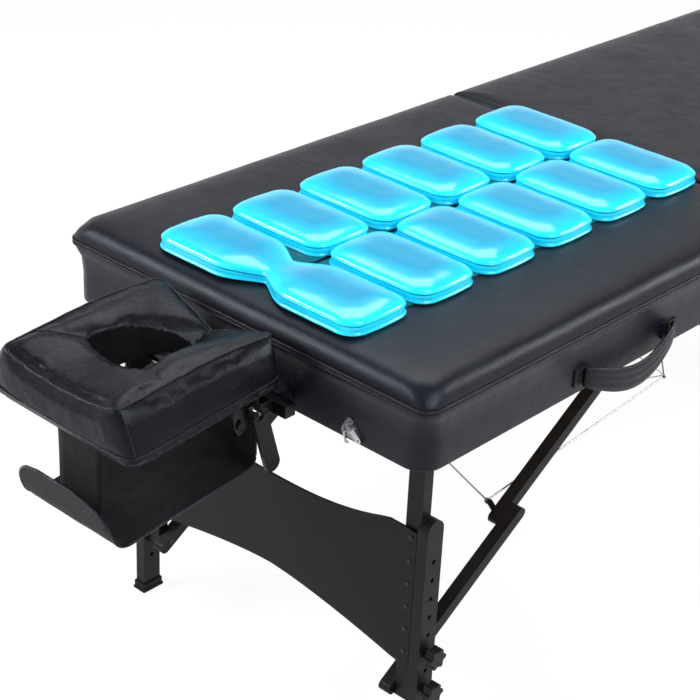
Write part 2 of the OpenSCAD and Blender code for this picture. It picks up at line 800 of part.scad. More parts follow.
module cradle_base_body() {
  color("#1d1d20") {
    translate([bar_x, -bar_l / 2, peg_z - bar_w / 2]) cube([bar_w, bar_l, bar_w]);
    both_sides() {
      translate([bar_x + bar_w - cut, peg_y, peg_z]) rotate([0, 90, 0])
        cylinder(h = peg_l - bar_x - bar_w + cut, d = peg_d, $fn = round_fn);
      lane(plate_y + plate_t, plate_t) difference() {
        quadrant_shape();
        translate([pivot_x, pivot_z]) circle(rod_r + pin_fit, $fn = round_fn);
        translate([pivot_x, pivot_z]) slot_shape();
      }
    }
  }
}

cam_y = plate_y + plate_t + 10;
cam_r = 6;
cam_pin_r = 2.5;
lever_w = 28;
lever_t = 6;
lever_turn = 17;
module pivot_rod_body() {
  color("silver") {
    translate([pivot_x, plate_y + plate_t + 3, pivot_z]) rotate([90, 0, 0])
      cylinder(h = plate_y + plate_t + 3 + cam_y, r = rod_r, $fn = round_fn);
    translate([pivot_x, plate_y + plate_t + 3, pivot_z]) rotate([90, 0, 0])
      cylinder(h = 3, r = 2 * rod_r, $fn = round_fn);
    translate([pivot_x - lever_w / 2, -cam_y, pivot_z]) rotate([0, 90, 0])
      cylinder(h = lever_w, r = cam_pin_r, $fn = round_fn);
    translate([pivot_x, -plate_y - plate_t, pivot_z]) rotate([90, 0, 0])
      cylinder(h = 3, r = 2 * rod_r, $fn = round_fn);
  }
}
module cam_lever_body() {
  color("#1d1d20") translate([pivot_x, -cam_y, pivot_z]) difference() {
    union() {
      rotate([0, 90, 0]) translate([0, 0, -lever_w / 2]) cylinder(h = lever_w, r = cam_r, $fn = round_fn);
      lane(lever_t / 2, lever_t) rotate(lever_turn - 90) {
        blade_l = lever_l - lever_w / 2;
        translate([0, -lever_w / 2]) square([blade_l, lever_w]);
        translate([blade_l, 0]) circle(lever_w / 2, $fn = round_fn);
      }
    }
    rotate([0, 90, 0]) translate([0, 0, -lever_w / 2 - cut])
      cylinder(h = lever_w + 2 * cut, r = cam_pin_r + pin_fit, $fn = round_fn);
    translate([-rod_r - lane_gap, -cam_r - lever_t, -cam_r - 3])
      cube([2 * (rod_r + lane_gap), 2 * (cam_r + lever_t), 2 * cam_r + 6]);
  }
}

module in_cradle() {
  translate([pivot_x, 0, pivot_z]) rotate([0, -cradle_tilt, 0]) children();
}
ear_w = 60;
ear_boss_r = 13;
ear_tip_r = 8;
ear_tip_top = [36, 10];
ear_tip_low = [28, 16];
ear_flange_t = 2;
ear_flange_w = 16;
module cradle_ear() {
  lane(plate_y - lane_gap, ear_t) difference() {
    union() {
      circle(ear_boss_r, $fn = round_fn);
      rotate(guide_angle - cradle_tilt) translate([guide_r0, 0]) circle(ear_tip_r, $fn = round_fn);
      polygon([
        [ear_boss_r, 0], [ear_w / 3, platform_rise], [-2 * ear_w / 3 - ear_flange_t, platform_rise],
        -ear_tip_top, -ear_tip_low, [0, -ear_boss_r]
      ]);
    }
    circle(rod_r + pin_fit, $fn = round_fn);
  }
  lane(plate_y + plate_t + 2, plate_t + 2 + lane_gap + ear_t)
    rotate(guide_angle - cradle_tilt) translate([guide_r0, 0]) circle(guide_bolt_r, $fn = round_fn);
  lane(plate_y + plate_t + 4, 4 - lane_gap)
    rotate(guide_angle - cradle_tilt) translate([guide_r0, 0]) circle(2 * guide_bolt_r, $fn = round_fn);
  translate([-2 * ear_w / 3 - ear_flange_t, plate_y - lane_gap - ear_flange_w, platform_rise - ear_flange_t])
    cube([ear_w + ear_flange_t, ear_flange_w, ear_flange_t]);
}
module cradle_ears_body() {
  color("#1d1d20") in_cradle() both_sides() cradle_ear();
}

platform_edge = 8;
hole_l = 150;
hole_w = 150;
hole_x = -100;
module platform_body() {
  x1 = cushion_rear_x + sling_t;
  x0 = cushion_rear_x - cushion_l + platform_edge;
  color("tan") in_cradle() translate([0, 0, platform_rise]) linear_extrude(platform_t) difference() {
    plan(x0, x1, cushion_w / 2 - platform_edge, 26, 12);
    plan(hole_x - hole_l / 2, hole_x + hole_l / 2, hole_w / 2, 40, 60);
  }
}

// Face cushion: a closed ring with sloping side walls, a valley at the rear and a teardrop opening
stations = 56;
cushion_mid = cushion_rear_x - cushion_l / 2;
corner_power = 16;
function spow(v, e) = v < 0 ? -pow(-v, e) : pow(v, e);
function outer_point(a) = let (
    l = cushion_l / 2,
    w = cushion_w / 2,
    r = pow(pow(abs(cos(a)) / l, corner_power) + pow(abs(sin(a)) / w, corner_power), -1 / corner_power)
  ) [cushion_mid + r * cos(a), r * sin(a)];
tear_front = -156;
tear_rear = 16;
tear_half_w = 80;
function inner_point(a) = let (u = (1 - cos(a)) / 2) [
  tear_rear + (tear_front - tear_rear) * pow(u, 0.8),
  tear_half_w * spow(sin(a), 0.75) * pow(u, 0.55)
];
// Height of the outer ridge: it falls along the arms, and is lowest at the middle of the rear
valley_h = 18;
front_dip = 14;
valley_share = 0.42;
fall_share = 0.5;
function ridge_h(p) = let (
    t = (cushion_rear_x - p[0]) / cushion_l,
    s = min(1, abs(p[1]) / (cushion_w / 2)),
    fall = (cushion_front_h - cushion_rear_h) * pow(1 - min(1, t / fall_share), 2),
    rear = (cushion_rear_h - valley_h) * (1 - pow(s, 0.8)) * pow(1 - min(1, t / valley_share), 1.2),
    front = front_dip * (1 - s * s) * pow(t, 3)
  ) cushion_front_h - fall - rear - front;
// How far the ridge lies inside the outer edge at the sides and the front, and behind it at the rear
side_draft = 30;
front_draft = 6;
rear_lean = 23;
middle_lean_share = 0.35;
function ridge_point(o) = let (
    t = (cushion_rear_x - o[0]) / cushion_l,
    s = min(1, abs(o[1]) / (cushion_w / 2)),
    lean = rear_lean * (middle_lean_share + (1 - middle_lean_share) * s)
  ) [
  o[0] + front_draft * pow(t, 3) + lean * pow(1 - t, 3),
  o[1] * (1 - side_draft / (cushion_w / 2))
];
// The section's shares: how far in, and how high
wall_shares = [[0, 0], [0.1, 0.25], [0.55, 0.72], [1, 0.97]];
crown_in_shares = [
  [0.03, 1.02], [0.1, 1], [0.3, 0.97], [0.55, 0.89], [0.78, 0.78], [0.93, 0.62], [1, 0.4], [1, 0]
];
function section_points(a) = let (
    o = outer_point(a),
    i = inner_point(a),
    h = ridge_h(o),
    e = ridge_point(o)
  ) concat(
    [for (s = wall_shares) let (p = o + (e - o) * s[0]) [p[0], p[1], h * s[1]]],
    [for (s = crown_in_shares) let (p = e + (i - e) * s[0]) [p[0], p[1], h * s[1]]]
  );
module face_cushion_body() {
  n = len(wall_shares) + len(crown_in_shares);
  points = [for (k = [0:stations - 1]) each section_points(360 * (k + 0.5) / stations)];
  faces = [for (k = [0:stations - 1]) for (i = [0:n - 1]) let (
      j = (i + 1) % n,
      next = (k + 1) % stations
    ) each [[k * n + i, k * n + j, next * n + j], [k * n + i, next * n + j, next * n + i]]];
  color("#2c2d33") in_cradle() translate([0, 0, platform_rise + platform_t + lane_gap])
    polyhedron(points, faces, convexity = 6);
}

// Arm sling: one strip of cloth from the platform down, along the floor and up the front flap
function strip_side(pts, t) = [
  for (i = [0:len(pts) - 1])
    let (
      a = pts[max(0, i - 1)], b = pts[min(len(pts) - 1, i + 1)],
      u = (b - a) / norm(b - a)
    ) pts[i] + t * [-u[1], u[0]]
];
function reversed(v) = [for (i = [len(v) - 1:-1:0]) v[i]];
sling_shares = [0, 0.25, 0.5, 0.75, 1];
function bend(a, b, c, r) = let (u = (a - b) / norm(a - b), v = (c - b) / norm(c - b))
  [for (t = sling_shares) (1 - t) * (1 - t) * (b + r * u) + 2 * t * (1 - t) * b + t * t * (b + r * v)];
module sling_strip() {
  path = concat([sling_top], bend(sling_top, sling_floor, sling_front, 16),
    bend(sling_floor, sling_front, flap_top, 26), [flap_top]);
  polygon(concat(path, reversed(strip_side(path, sling_t))));
}
strap_w = 90;
strap_x = -218;
module arm_sling_body() {
  strap_top = tilted(strap_x, platform_rise);
  strap_z = sling_front[1] + (strap_top[0] - sling_front[0]) * sling_fall / sling_floor_l - sling_t / 2;
  color("#26272c") {
    difference() {
      lane(sling_w / 2, sling_w) sling_strip();
      both_sides() translate([flap_top[0] - 4 * sling_t, sling_w / 2 - flap_r, flap_top[1] - flap_r])
        rotate([0, 90, 0]) difference() {
          translate([-flap_r - cut, 0, 0]) cube([flap_r + cut, flap_r + cut, flap_r]);
          translate([0, 0, -cut]) cylinder(h = flap_r + 2 * cut, r = flap_r, $fn = round_fn);
        }
    }
    translate([strap_top[0] - sling_t / 2, -strap_w / 2, strap_z])
      cube([sling_t, strap_w, strap_top[1] - strap_z - lane_gap]);
  }
}

// Gel overlay: two rows of pillows joined by a thin web
pillow_x = 95;
web_t = 4;
gel_row_y = pillow_w / 2 + 3;
pillow_shares = [[0, 0.95], [0.3, 1], [0.42, 0.96], [0.8, 0.88], [0.96, 0.62]];
pillow_steps = 3;
pillow_r = 34;
function pillow_ring(s, z) = let (w = pillow_l / 2 * s, d = pillow_w / 2 - pillow_l / 2 * (1 - s), r = pillow_r * s)
  [for (q = [0:3]) for (i = [0:pillow_steps]) let (
      a = 90 * q + 90 * i / pillow_steps,
      cx = (q == 0 || q == 3 ? 1 : -1) * (w - r),
      cy = (q < 2 ? 1 : -1) * (d - r)
    ) [cx + r * cos(a), cy + r * sin(a), z]];
module pillow() {
  n = 4 * (pillow_steps + 1);
  rows = len(pillow_shares);
  points = concat([for (s = pillow_shares) each pillow_ring(s[1], pillow_h * s[0])], [[0, 0, 0], [0, 0, pillow_h]]);
  polyhedron(points, concat(
    skin_faces(rows, n),
    fan_faces(0, n, rows * n, true),
    fan_faces((rows - 1) * n, n, rows * n + 1, false)
  ), convexity = 2);
}
gel_rows = 6;
web_edge = 20;
module gel_overlay() {
  color("deepskyblue") translate([0, 0, crown_z + lane_gap]) {
    for (i = [0:gel_rows - 1]) for (s = [-1, 1]) translate([pillow_x + i * pillow_pitch, s * gel_row_y, 0]) pillow();
    for (s = [-1, 1]) translate([0, s * gel_row_y, 0]) linear_extrude(web_t)
      translate([pillow_x, web_edge - pillow_w / 2])
        square([(gel_rows - 1) * pillow_pitch, pillow_w - 2 * web_edge]);
    translate([pillow_x - pillow_l / 2 + web_edge, -gel_row_y, 0]) linear_extrude(web_t)
      square([pillow_l - 2 * web_edge, 2 * gel_row_y]);
  }
}

// Nodes

module head_rails() { place() frame_boards(); }
module head_deck() { place() deck_board(); }
module head_skirt() { place() cover_skirt(); }
module head_cushion() { place() cushion_body(); }
module foot_rails() { place() as_foot() frame_boards(); }
module foot_deck() { place() as_foot() deck_board(); }
module foot_skirt() { place() as_foot() cover_skirt(); }
module foot_cushion() { place() as_foot() cushion_body(); }
module head_hinge_leaves() {
  color("silver") place() for (s = [-1, 1]) translate([0, s * leaf_y, 0]) head_leaf();
}
module foot_hinge_leaves() {
  color("silver") place() for (s = [-1, 1]) translate([0, s * leaf_y, 0]) foot_leaf();
}
module head_handle() { place() handle_band(handle_off, head_rise_power); }
module foot_handle() { place() as_foot() handle_band(foot_handle_off, foot_rise_power); }
module head_handle_fixings() { place() handle_fixings(); }
module foot_handle_fixings() { place() as_foot() handle_fixings(); }
module latch_plates() {
  color("silver") place() for (s = [-1, 1]) on_head_face(s) latch_plate();
}
module near_latch_lever() { color("silver") place() on_head_face(-1) latch_lever_arm(); }
module far_latch_lever() { color("silver") place() on_head_face(1) latch_lever_arm(); }
module near_latch_hook() { color("silver") place() on_head_face(-1) latch_hook_arm(); }
module far_latch_hook() { color("silver") place() on_head_face(1) latch_hook_arm(); }
module latch_keepers() { color("silver") place() both_sides() latch_keeper(); }
module head_brackets() { place() brackets(0); }
module foot_brackets() { place() as_foot() brackets(foot_set_in); }
module head_upper_legs() { place() upper_legs(0); }
module foot_upper_legs() { place() as_foot() upper_legs(foot_set_in); }
module head_panel() { place() end_panel(0); }
module foot_panel() { place() as_foot() end_panel(foot_set_in); }
module head_leg_bolts() { place() leg_bolts(0); }
module foot_leg_bolts() { place() as_foot() leg_bolts(foot_set_in); }
module head_near_extension() { place() extension(0, -1); }
module head_far_extension() { place() extension(0, 1); }
module foot_near_extension() { place() as_foot() extension(foot_set_in, -1); }
module foot_far_extension() { place() as_foot() extension(foot_set_in, 1); }
module head_near_foot() { place() rubber_foot(0, -1); }
module head_far_foot() { place() rubber_foot(0, 1); }
module foot_near_foot() { place() as_foot() rubber_foot(foot_set_in, -1); }
module foot_far_foot() { place() as_foot() rubber_foot(foot_set_in, 1); }
module head_near_upper_knob() { place() star_knob(0, -1, stud_drops[1]); }
module head_near_lower_knob() { place() star_knob(0, -1, stud_drops[0]); }
module head_far_upper_knob() { place() star_knob(0, 1, stud_drops[1]); }
module head_far_lower_knob() { place() star_knob(0, 1, stud_drops[0]); }
module foot_near_upper_knob() { place() as_foot() star_knob(foot_set_in, -1, stud_drops[1]); }
module foot_near_lower_knob() { place() as_foot() star_knob(foot_set_in, -1, stud_drops[0]); }
module foot_far_upper_knob() { place() as_foot() star_knob(foot_set_in, 1, stud_drops[1]); }
module foot_far_lower_knob() { place() as_foot() star_knob(foot_set_in, 1, stud_drops[0]); }
module head_upper_links() { place() upper_links(0); }
module head_lower_links() { place() lower_links(0); }
module foot_upper_links() { place() as_foot() upper_links(foot_set_in); }
module foot_lower_links() { place() as_foot() lower_links(foot_set_in); }
module head_knee_bolts() { place() knee_bolts(0); }
module foot_knee_bolts() { place() as_foot() knee_bolts(foot_set_in); }
module head_cables() { place() cables(0, cable_y - foot_set_in / 2); }
module foot_cables() { place() as_foot() cables(foot_set_in, cable_y - foot_set_in / 2); }
module cradle_base() { place() cradle_base_body(); }
module cradle_ears() { place() cradle_ears_body(); }
module cradle_rod() { place() pivot_rod_body(); }
module cradle_platform() { place() platform_body(); }
module cradle_lever() { place() cam_lever_body(); }
module cradle_cushion() { place() face_cushion_body(); }
module arm_sling() { place() arm_sling_body(); }
module gel_pad() { place() gel_overlay(); }

head_rails();
head_deck();
head_skirt();
head_cushion();
foot_rails();
foot_deck();
foot_skirt();
foot_cushion();
head_hinge_leaves();
foot_hinge_leaves();
head_handle();
foot_handle();
head_handle_fixings();
foot_handle_fixings();
latch_plates();
near_latch_lever();
far_latch_lever();
near_latch_hook();
far_latch_hook();
latch_keepers();
head_brackets();
foot_brackets();
head_upper_legs();
foot_upper_legs();
head_panel();
foot_panel();
head_leg_bolts();
foot_leg_bolts();
head_near_extension();
head_far_extension();
foot_near_extension();
foot_far_extension();
head_near_foot();
head_far_foot();
foot_near_foot();
foot_far_foot();
head_near_upper_knob();
head_near_lower_knob();
head_far_upper_knob();
head_far_lower_knob();
foot_near_upper_knob();
foot_near_lower_knob();
foot_far_upper_knob();
foot_far_lower_knob();
head_upper_links();
head_lower_links();
foot_upper_links();
foot_lower_links();
head_knee_bolts();
foot_knee_bolts();
head_cables();
foot_cables();
cradle_base();
cradle_ears();
cradle_rod();
cradle_platform();
cradle_lever();
cradle_cushion();
arm_sling();
gel_pad();
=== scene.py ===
import bpy, bmesh, math
import numpy as np
from mathutils import Matrix, Vector, noise
from mathutils.bvhtree import BVHTree


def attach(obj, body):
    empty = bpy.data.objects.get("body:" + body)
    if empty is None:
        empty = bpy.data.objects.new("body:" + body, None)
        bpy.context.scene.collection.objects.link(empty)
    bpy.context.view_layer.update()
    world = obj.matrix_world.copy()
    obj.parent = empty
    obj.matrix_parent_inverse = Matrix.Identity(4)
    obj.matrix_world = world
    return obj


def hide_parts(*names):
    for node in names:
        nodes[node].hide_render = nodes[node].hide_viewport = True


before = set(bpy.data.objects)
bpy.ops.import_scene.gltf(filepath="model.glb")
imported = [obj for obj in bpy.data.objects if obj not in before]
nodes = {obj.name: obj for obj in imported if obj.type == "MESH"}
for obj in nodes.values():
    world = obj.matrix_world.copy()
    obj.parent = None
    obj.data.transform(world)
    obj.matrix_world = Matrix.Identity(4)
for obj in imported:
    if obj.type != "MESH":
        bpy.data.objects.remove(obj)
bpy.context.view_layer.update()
sin, cos, pi = math.sin, math.cos, math.pi

# The source's own axes: X from the head end, Y from the centre line, Z from the floor, in millimetres.
# Sizes below are in millimetres and degrees unless they say metres.
ORIGIN = Vector((754.0305, -12.6, 0.0))
TOP_W = 762.0  # across the side seams
HALF_L = 920.0  # from the head end to the middle of the centre joint
HALF_END = 919.8  # where a half's cover stops at the joint
FRAME_Z, DECK_Z, SEAM_Z, CROWN_Z = 585.0, 661.0, 689.0, 725.0
COVER_Y = 374.0  # the boxing's side faces
FLARE = 7.0  # how far the boxing stands in from the seam
PEG_Y, PEG_Z, PEG_HOLE_R, PEG_HOLE_DEPTH = 108, 603, 9.55, 30


def row(p):
    """A place on the source's axes as metres in the shared frame."""
    return ((p[0] - ORIGIN[0]) / 1000, (p[1] - ORIGIN[1]) / 1000, p[2] / 1000)


def design(q):
    """The way back from the shared frame, for a point in metres."""
    return (q.x * 1000 + ORIGIN[0], q.y * 1000 + ORIGIN[1], q.z * 1000)


# ---------------------------------------------------------------- camera
CAMERA_AT = (-2.40303, -1.7074, 1.925)  # metres
YAW, PITCH, ROLL = 50.74, -27.38, 4.13
LENS, SENSOR = 93.86, 36
SHIFT_X, SHIFT_Y = -0.1143, -0.0329


def make_camera():
    yaw, pitch, roll = (math.radians(a) for a in (YAW, PITCH, ROLL))
    ahead = Vector((sin(yaw) * cos(pitch), cos(yaw) * cos(pitch), sin(pitch)))
    level = Vector((cos(yaw), -sin(yaw), 0))
    above = level.cross(ahead)
    right = level * cos(roll) + above * sin(roll)
    up = above * cos(roll) - level * sin(roll)
    data = bpy.data.cameras.new("camera")
    data.lens, data.sensor_width = LENS, SENSOR
    data.shift_x, data.shift_y = SHIFT_X, SHIFT_Y
    data.clip_end = 60
    cam = bpy.data.objects.new("camera", data)
    m = Matrix((right, up, -ahead)).transposed().to_4x4()
    m.translation = Vector(CAMERA_AT)
    cam.matrix_world = m
    bpy.context.collection.objects.link(cam)
    bpy.context.scene.camera = cam
    bpy.context.scene.view_settings.view_transform = "Standard"


make_camera()


# ---------------------------------------------------------------- materials
def adder(tree):
    """A call that adds a shader node, with its inputs set or linked and its properties set."""
    def add(kind, ins=None, **props):
        node = tree.nodes.new("ShaderNode" + kind)
        for key, value in props.items():
            setattr(node, key, value)
        for key, value in (ins or {}).items():
            socket = node.inputs[key]
            if isinstance(value, bpy.types.NodeSocket):
                tree.links.new(value, socket)
            else:
                socket.default_value = value
        return node

    return add


def new_mat(name, color, rough, metal=0.0, **sockets):
    """A Principled material; returns it with its node adder, shader and tree."""
    m = bpy.data.materials.new(name)
    m.use_nodes = True
    t = m.node_tree
    sh = t.nodes["Principled BSDF"]
    sh.inputs["Base Color"].default_value = (*color, 1)
    sh.inputs["Roughness"].default_value = rough
    sh.inputs["Metallic"].default_value = metal
    for key, value in sockets.items():
        sh.inputs[key.replace("_", " ")].default_value = value
    return m, adder(t), sh, t


def ramp(add, fac, stops):
    """A colour ramp's output; each stop is a place and a colour."""
    n = add("ValToRGB", {"Fac": fac})
    e = n.color_ramp.elements
    e[0].position, e[0].color = stops[0][0], (*stops[0][1], 1)
    e[1].position, e[1].color = stops[-1][0], (*stops[-1][1], 1)
    for place, colour in stops[1:-1]:
        e.new(place).color = (*colour, 1)
    return n.outputs["Color"]


def grey(v):
    return (v, v, v)


def speckle(add, vector, scale, detail, roughness=0.5, distortion=0.0):
    """The value of a noise texture."""
    return add("TexNoise", {"Vector": vector, "Scale": scale, "Detail": detail, "Roughness": roughness,
                            "Distortion": distortion}).outputs["Fac"]


def bumped(t, add, sh, layers):
    """layers: (height socket, strength, distance in metres), the coarsest first."""
    last = None
    for height, strength, distance in layers:
        ins = {"Height": height, "Strength": strength, "Distance": distance}
        if last is not None:
            ins["Normal"] = last
        last = add("Bump", ins).outputs["Normal"]
    t.links.new(last, sh.inputs["Normal"])


COOL_SHEEN = (0.8, 0.85, 1.0, 1)


def vinyl(name, dark, light, rough, grain=1.0, crease=0.25, shine=0.22):
    """Upholstery vinyl: fine leather grain, faint creases, cloudy tone and worn sheen."""
    m, add, sh, t = new_mat(name, dark, rough, Specular_IOR_Level=shine, Specular_Tint=COOL_SHEEN)
    co = add("TexCoord").outputs["Object"]
    cloud = speckle(add, co, 9.0, 5.0, 0.6)
    t.links.new(ramp(add, cloud, [(0.3, dark), (0.75, light)]), sh.inputs["Base Color"])
    scuff = speckle(add, co, 38.0, 6.0, 0.7)
    t.links.new(ramp(add, scuff, [(0.25, grey(rough - 0.07)), (0.8, grey(rough + 0.1))]),
                sh.inputs["Roughness"])
    cell = add("TexVoronoi", {"Vector": co, "Scale": 620.0}, feature="DISTANCE_TO_EDGE").outputs["Distance"]
    pebble = ramp(add, cell, [(0.0, grey(0)), (0.16, grey(1))])
    fold = speckle(add, co, 24.0, 3.0, distortion=0.6)
    bumped(t, add, sh, [(fold, crease, 0.004), (pebble, 0.22 * grain, 0.0004)])
    return m


def wood(name, dark, light, rough, shine=0.5):
    """Straight grain along X with pores."""
    m, add, sh, t = new_mat(name, dark, rough, Specular_IOR_Level=shine)
    co = add("TexCoord").outputs["Object"]
    stretched = add("Mapping", {"Vector": co, "Scale": (1.2, 26, 26)}).outputs["Vector"]
    rings = speckle(add, stretched, 2.2, 7.0, distortion=0.5)
    pores = speckle(add, stretched, 21.0, 2.0)
    t.links.new(ramp(add, rings, [(0.3, dark), (0.7, light)]), sh.inputs["Base Color"])
    t.links.new(ramp(add, pores, [(0.3, grey(rough - 0.06)), (0.8, grey(rough + 0.12))]),
                sh.inputs["Roughness"])
    bumped(t, add, sh, [(rings, 0.25, 0.0006), (pores, 0.35, 0.0003)])
    return m


def moulded(name, color, rough, fine=900.0, bump=0.25, spread=1.5):
    """Moulded plastic or rubber: a spark-eroded skin and slight tone drift."""
    m, add, sh, t = new_mat(name, color, rough, Specular_IOR_Level=0.16)
    co = add("TexCoord").outputs["Object"]
    drift = speckle(add, co, 14.0, 4.0)
    skin_grain = speckle(add, co, fine, 2.0)
    pale = tuple(c * spread + 0.002 for c in color)
    t.links.new(ramp(add, drift, [(0.3, color), (0.75, pale)]), sh.inputs["Base Color"])
    t.links.new(ramp(add, drift, [(0.3, grey(rough - 0.05)), (0.8, grey(rough + 0.1))]),
                sh.inputs["Roughness"])
    bumped(t, add, sh, [(skin_grain, bump, 0.0003)])
    return m


def metal(name, color, rough, fine=260.0, bump=0.08):
    """Plated or painted metal with rubbed patches and fine scratches."""
    m, add, sh, t = new_mat(name, color, rough, metal=1.0)
    co = add("TexCoord").outputs["Object"]
    rub = speckle(add, co, 55.0, 6.0, 0.7)
    along = add("Mapping", {"Vector": co, "Scale": (0.3, 1.0, 1.0)}).outputs["Vector"]
    scratch = speckle(add, along, fine, 3.0)
    t.links.new(ramp(add, rub, [(0.3, grey(max(0.04, rough - 0.06))), (0.75, grey(rough + 0.12))]),
                sh.inputs["Roughness"])
    t.links.new(ramp(add, rub, [(0.35, color), (0.8, tuple(c * 0.82 for c in color))]),
                sh.inputs["Base Color"])
    bumped(t, add, sh, [(scratch, bump, 0.0004)])
    return m


def cloth(name, dark, light, rough, sheen, fine=700.0):
    """Woven or napped cloth: two crossed thread waves and a soft nap."""
    m, add, sh, t = new_mat(name, dark, rough, Sheen_Weight=sheen, Sheen_Roughness=0.45,
                            Specular_IOR_Level=0.15)
    co = add("TexCoord").outputs["Object"]
    warp, weft = (add("TexWave", {"Vector": co, "Scale": fine, "Distortion": 0.4},
                      bands_direction=axis).outputs["Fac"] for axis in "YZ")
    both = add("Math", {0: warp, 1: weft}, operation="MAXIMUM").outputs["Value"]
    nap = speckle(add, co, 45.0, 6.0, 0.65)
    t.links.new(ramp(add, nap, [(0.3, dark), (0.72, light)]), sh.inputs["Base Color"])
    bumped(t, add, sh, [(nap, 0.35, 0.003), (both, 0.15, 0.0003)])
    return m


def gel_skin(name):
    """Tinted gel behind a glossy film, coloured by the depth attribute: the cyan tint is the gel's own, and
    the pale rims, walls and shoulders are painted glow of light through the gel.
    """
    m, add, sh, t = new_mat(name, (0.01, 0.5, 0.85), 0.22, Subsurface_Weight=0.15,
                            Subsurface_Scale=0.008, Coat_Weight=0.25, Coat_Roughness=0.12,
                            Specular_IOR_Level=0.38)
    sh.inputs["Subsurface Radius"].default_value = (0.2, 0.8, 1.0)
    co = add("TexCoord").outputs["Object"]
    depth = add("Attribute", attribute_name="depth").outputs["Fac"]
    cloud = speckle(add, co, 16.0, 3.0)
    mixed = add("Math", {0: cloud, 1: 0.22, 2: depth}, operation="MULTIPLY_ADD").outputs["Value"]
    # the pale stops at low depth paint the glow of light through the gel's rims and walls; the deep stop is
    # the gel's own tint
    tones = [(0.08, (0.0, 0.5, 0.78)), (0.16, (0.01, 0.62, 0.82)), (0.38, (0.003, 0.44, 0.7)),
             (0.95, (0.012, 0.25, 0.42))]
    t.links.new(ramp(add, mixed, tones), sh.inputs["Base Color"])
    bumped(t, add, sh, [(speckle(add, co, 30.0, 2.0), 0.12, 0.003)])
    return m


# vinyl, wood and cloth: the dark tone, the light tone and the roughness; the rest: tone and roughness
M = {
    "vinyl": vinyl("vinyl", (0.0036, 0.0041, 0.0068), (0.0072, 0.0078, 0.012), 0.32),
    "piping": vinyl("vinyl_piping", (0.006, 0.0062, 0.008), (0.011, 0.0115, 0.014), 0.22, crease=0.05),
    "cradle_vinyl": vinyl("cradle_vinyl", (0.0024, 0.0026, 0.0042), (0.005, 0.0054, 0.008), 0.25,
                          crease=0.3, shine=0.16),
    "handle": vinyl("handle_vinyl", (0.005, 0.0052, 0.0068), (0.009, 0.0092, 0.0115), 0.34,
                    grain=1.4, crease=0.3),
    "stitch": cloth("thread", (0.05, 0.05, 0.06), (0.09, 0.09, 0.1), 0.7, sheen=0.1, fine=3000.0),
    "suede": cloth("suede", (0.003, 0.003, 0.0042), (0.01, 0.01, 0.0135), 0.85, sheen=0.06),
    "lining": cloth("lining", (0.008, 0.008, 0.0095), (0.014, 0.014, 0.016), 0.85, sheen=0.08),
    # the opening's walls get a near-black cloth: painted shade where the cushion's inside lies in shadow
    "painted_shade_throat": cloth("painted_shade_throat", (0.0012, 0.0012, 0.0018), (0.0025, 0.0025, 0.0035), 0.95, sheen=0.0),
    "wood": wood("birch", (0.36, 0.23, 0.12), (0.52, 0.36, 0.2), 0.5),
    "black_wood": wood("black_stained_wood", (0.0045, 0.0045, 0.0055), (0.008, 0.008, 0.0095), 0.4,
                       shine=0.15),
    "panel": moulded("panel_board", (0.0045, 0.0047, 0.006), 0.5, fine=1400.0, bump=0.15, spread=1.25),
    "rubber": moulded("rubber", (0.007, 0.007, 0.0075), 0.7, fine=500.0, bump=0.4),
    "knob": moulded("knob_nylon", (0.007, 0.007, 0.0075), 0.42, fine=700.0, bump=0.3),
    "cradle": moulded("cradle_nylon", (0.007, 0.007, 0.008), 0.38, fine=700.0),
    "steel": metal("chrome", (0.5, 0.51, 0.53), 0.16),
    # latch plates: a rougher metal than the lever, whose darker tone paints the shade on the plates
    "plate_metal_and_painted_shade": metal("plate_metal_and_painted_shade", (0.32, 0.32, 0.34), 0.25),
    "dark_steel": metal("black_plated_steel", (0.045, 0.045, 0.05), 0.34),
    "cable": metal("steel_cable", (0.33, 0.34, 0.36), 0.3, fine=900.0, bump=0.5),
    "gel": gel_skin("gel"),
    "film": moulded("gel_film", (0.004, 0.075, 0.1), 0.25, fine=60.0, bump=0.3),
}
# the first entry that a node's name holds gives its finish
BY_NODE = [
    ("rails", "wood"), ("deck", "wood"), ("hinge_leaves", "dark_steel"), ("handle_fixings", "knob"),
    ("latch_plates", "plate_metal_and_painted_shade"), ("latch_lever", "steel"), ("latch_hook", "steel"),
    ("latch_keepers", "steel"), ("brackets", "dark_steel"), ("upper_legs", "black_wood"),
    ("panel", "panel"), ("leg_bolts", "dark_steel"), ("extension", "black_wood"),
    ("links", "black_wood"), ("knee_bolts", "dark_steel"), ("knob", "knob"), ("_foot", "rubber"),
    ("cables", "cable"), ("cradle_rod", "steel"), ("cradle_ears", "cradle"),
    ("cradle_base", "dark_steel"), ("cradle_lever", "cradle"), ("cradle_platform", "black_wood"),
]
for node_name, node_obj in nodes.items():
    finish = next((mat for part, mat in BY_NODE if part in node_name), "vinyl")
    for mat_slot in node_obj.material_slots:
        mat_slot.link = "OBJECT"
        mat_slot.material = M[finish]


# ---------------------------------------------------------------- mesh helpers
BEAD_SIDES = 8


def mesh_obj(name, verts, faces, mat, body=None, smooth=True):
    """A mesh from points on the source's axes; without a body it is joined or given one later."""
    me = bpy.data.meshes.new(name)
    me.from_pydata([row(v) for v in verts], [], faces)
    me.validate()
    me.update()
    if smooth:
        me.polygons.foreach_set("use_smooth", [True] * len(me.polygons))
    me.materials.append(M[mat])
    o = bpy.data.objects.new(name, me)
    bpy.context.collection.objects.link(o)
    bpy.context.view_layer.update()
    if body:
        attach(o, body)
    return o


def skin(rings, closed=True):
    """Quads between rings that all have the same number of points."""
    n = len(rings[0])
    faces = []
    for j in range(len(rings) - 1):
        for i in range(n if closed else n - 1):
            k = (i + 1) % n
            faces.append((j * n + i, j * n + k, (j + 1) * n + k, (j + 1) * n + i))
    return faces


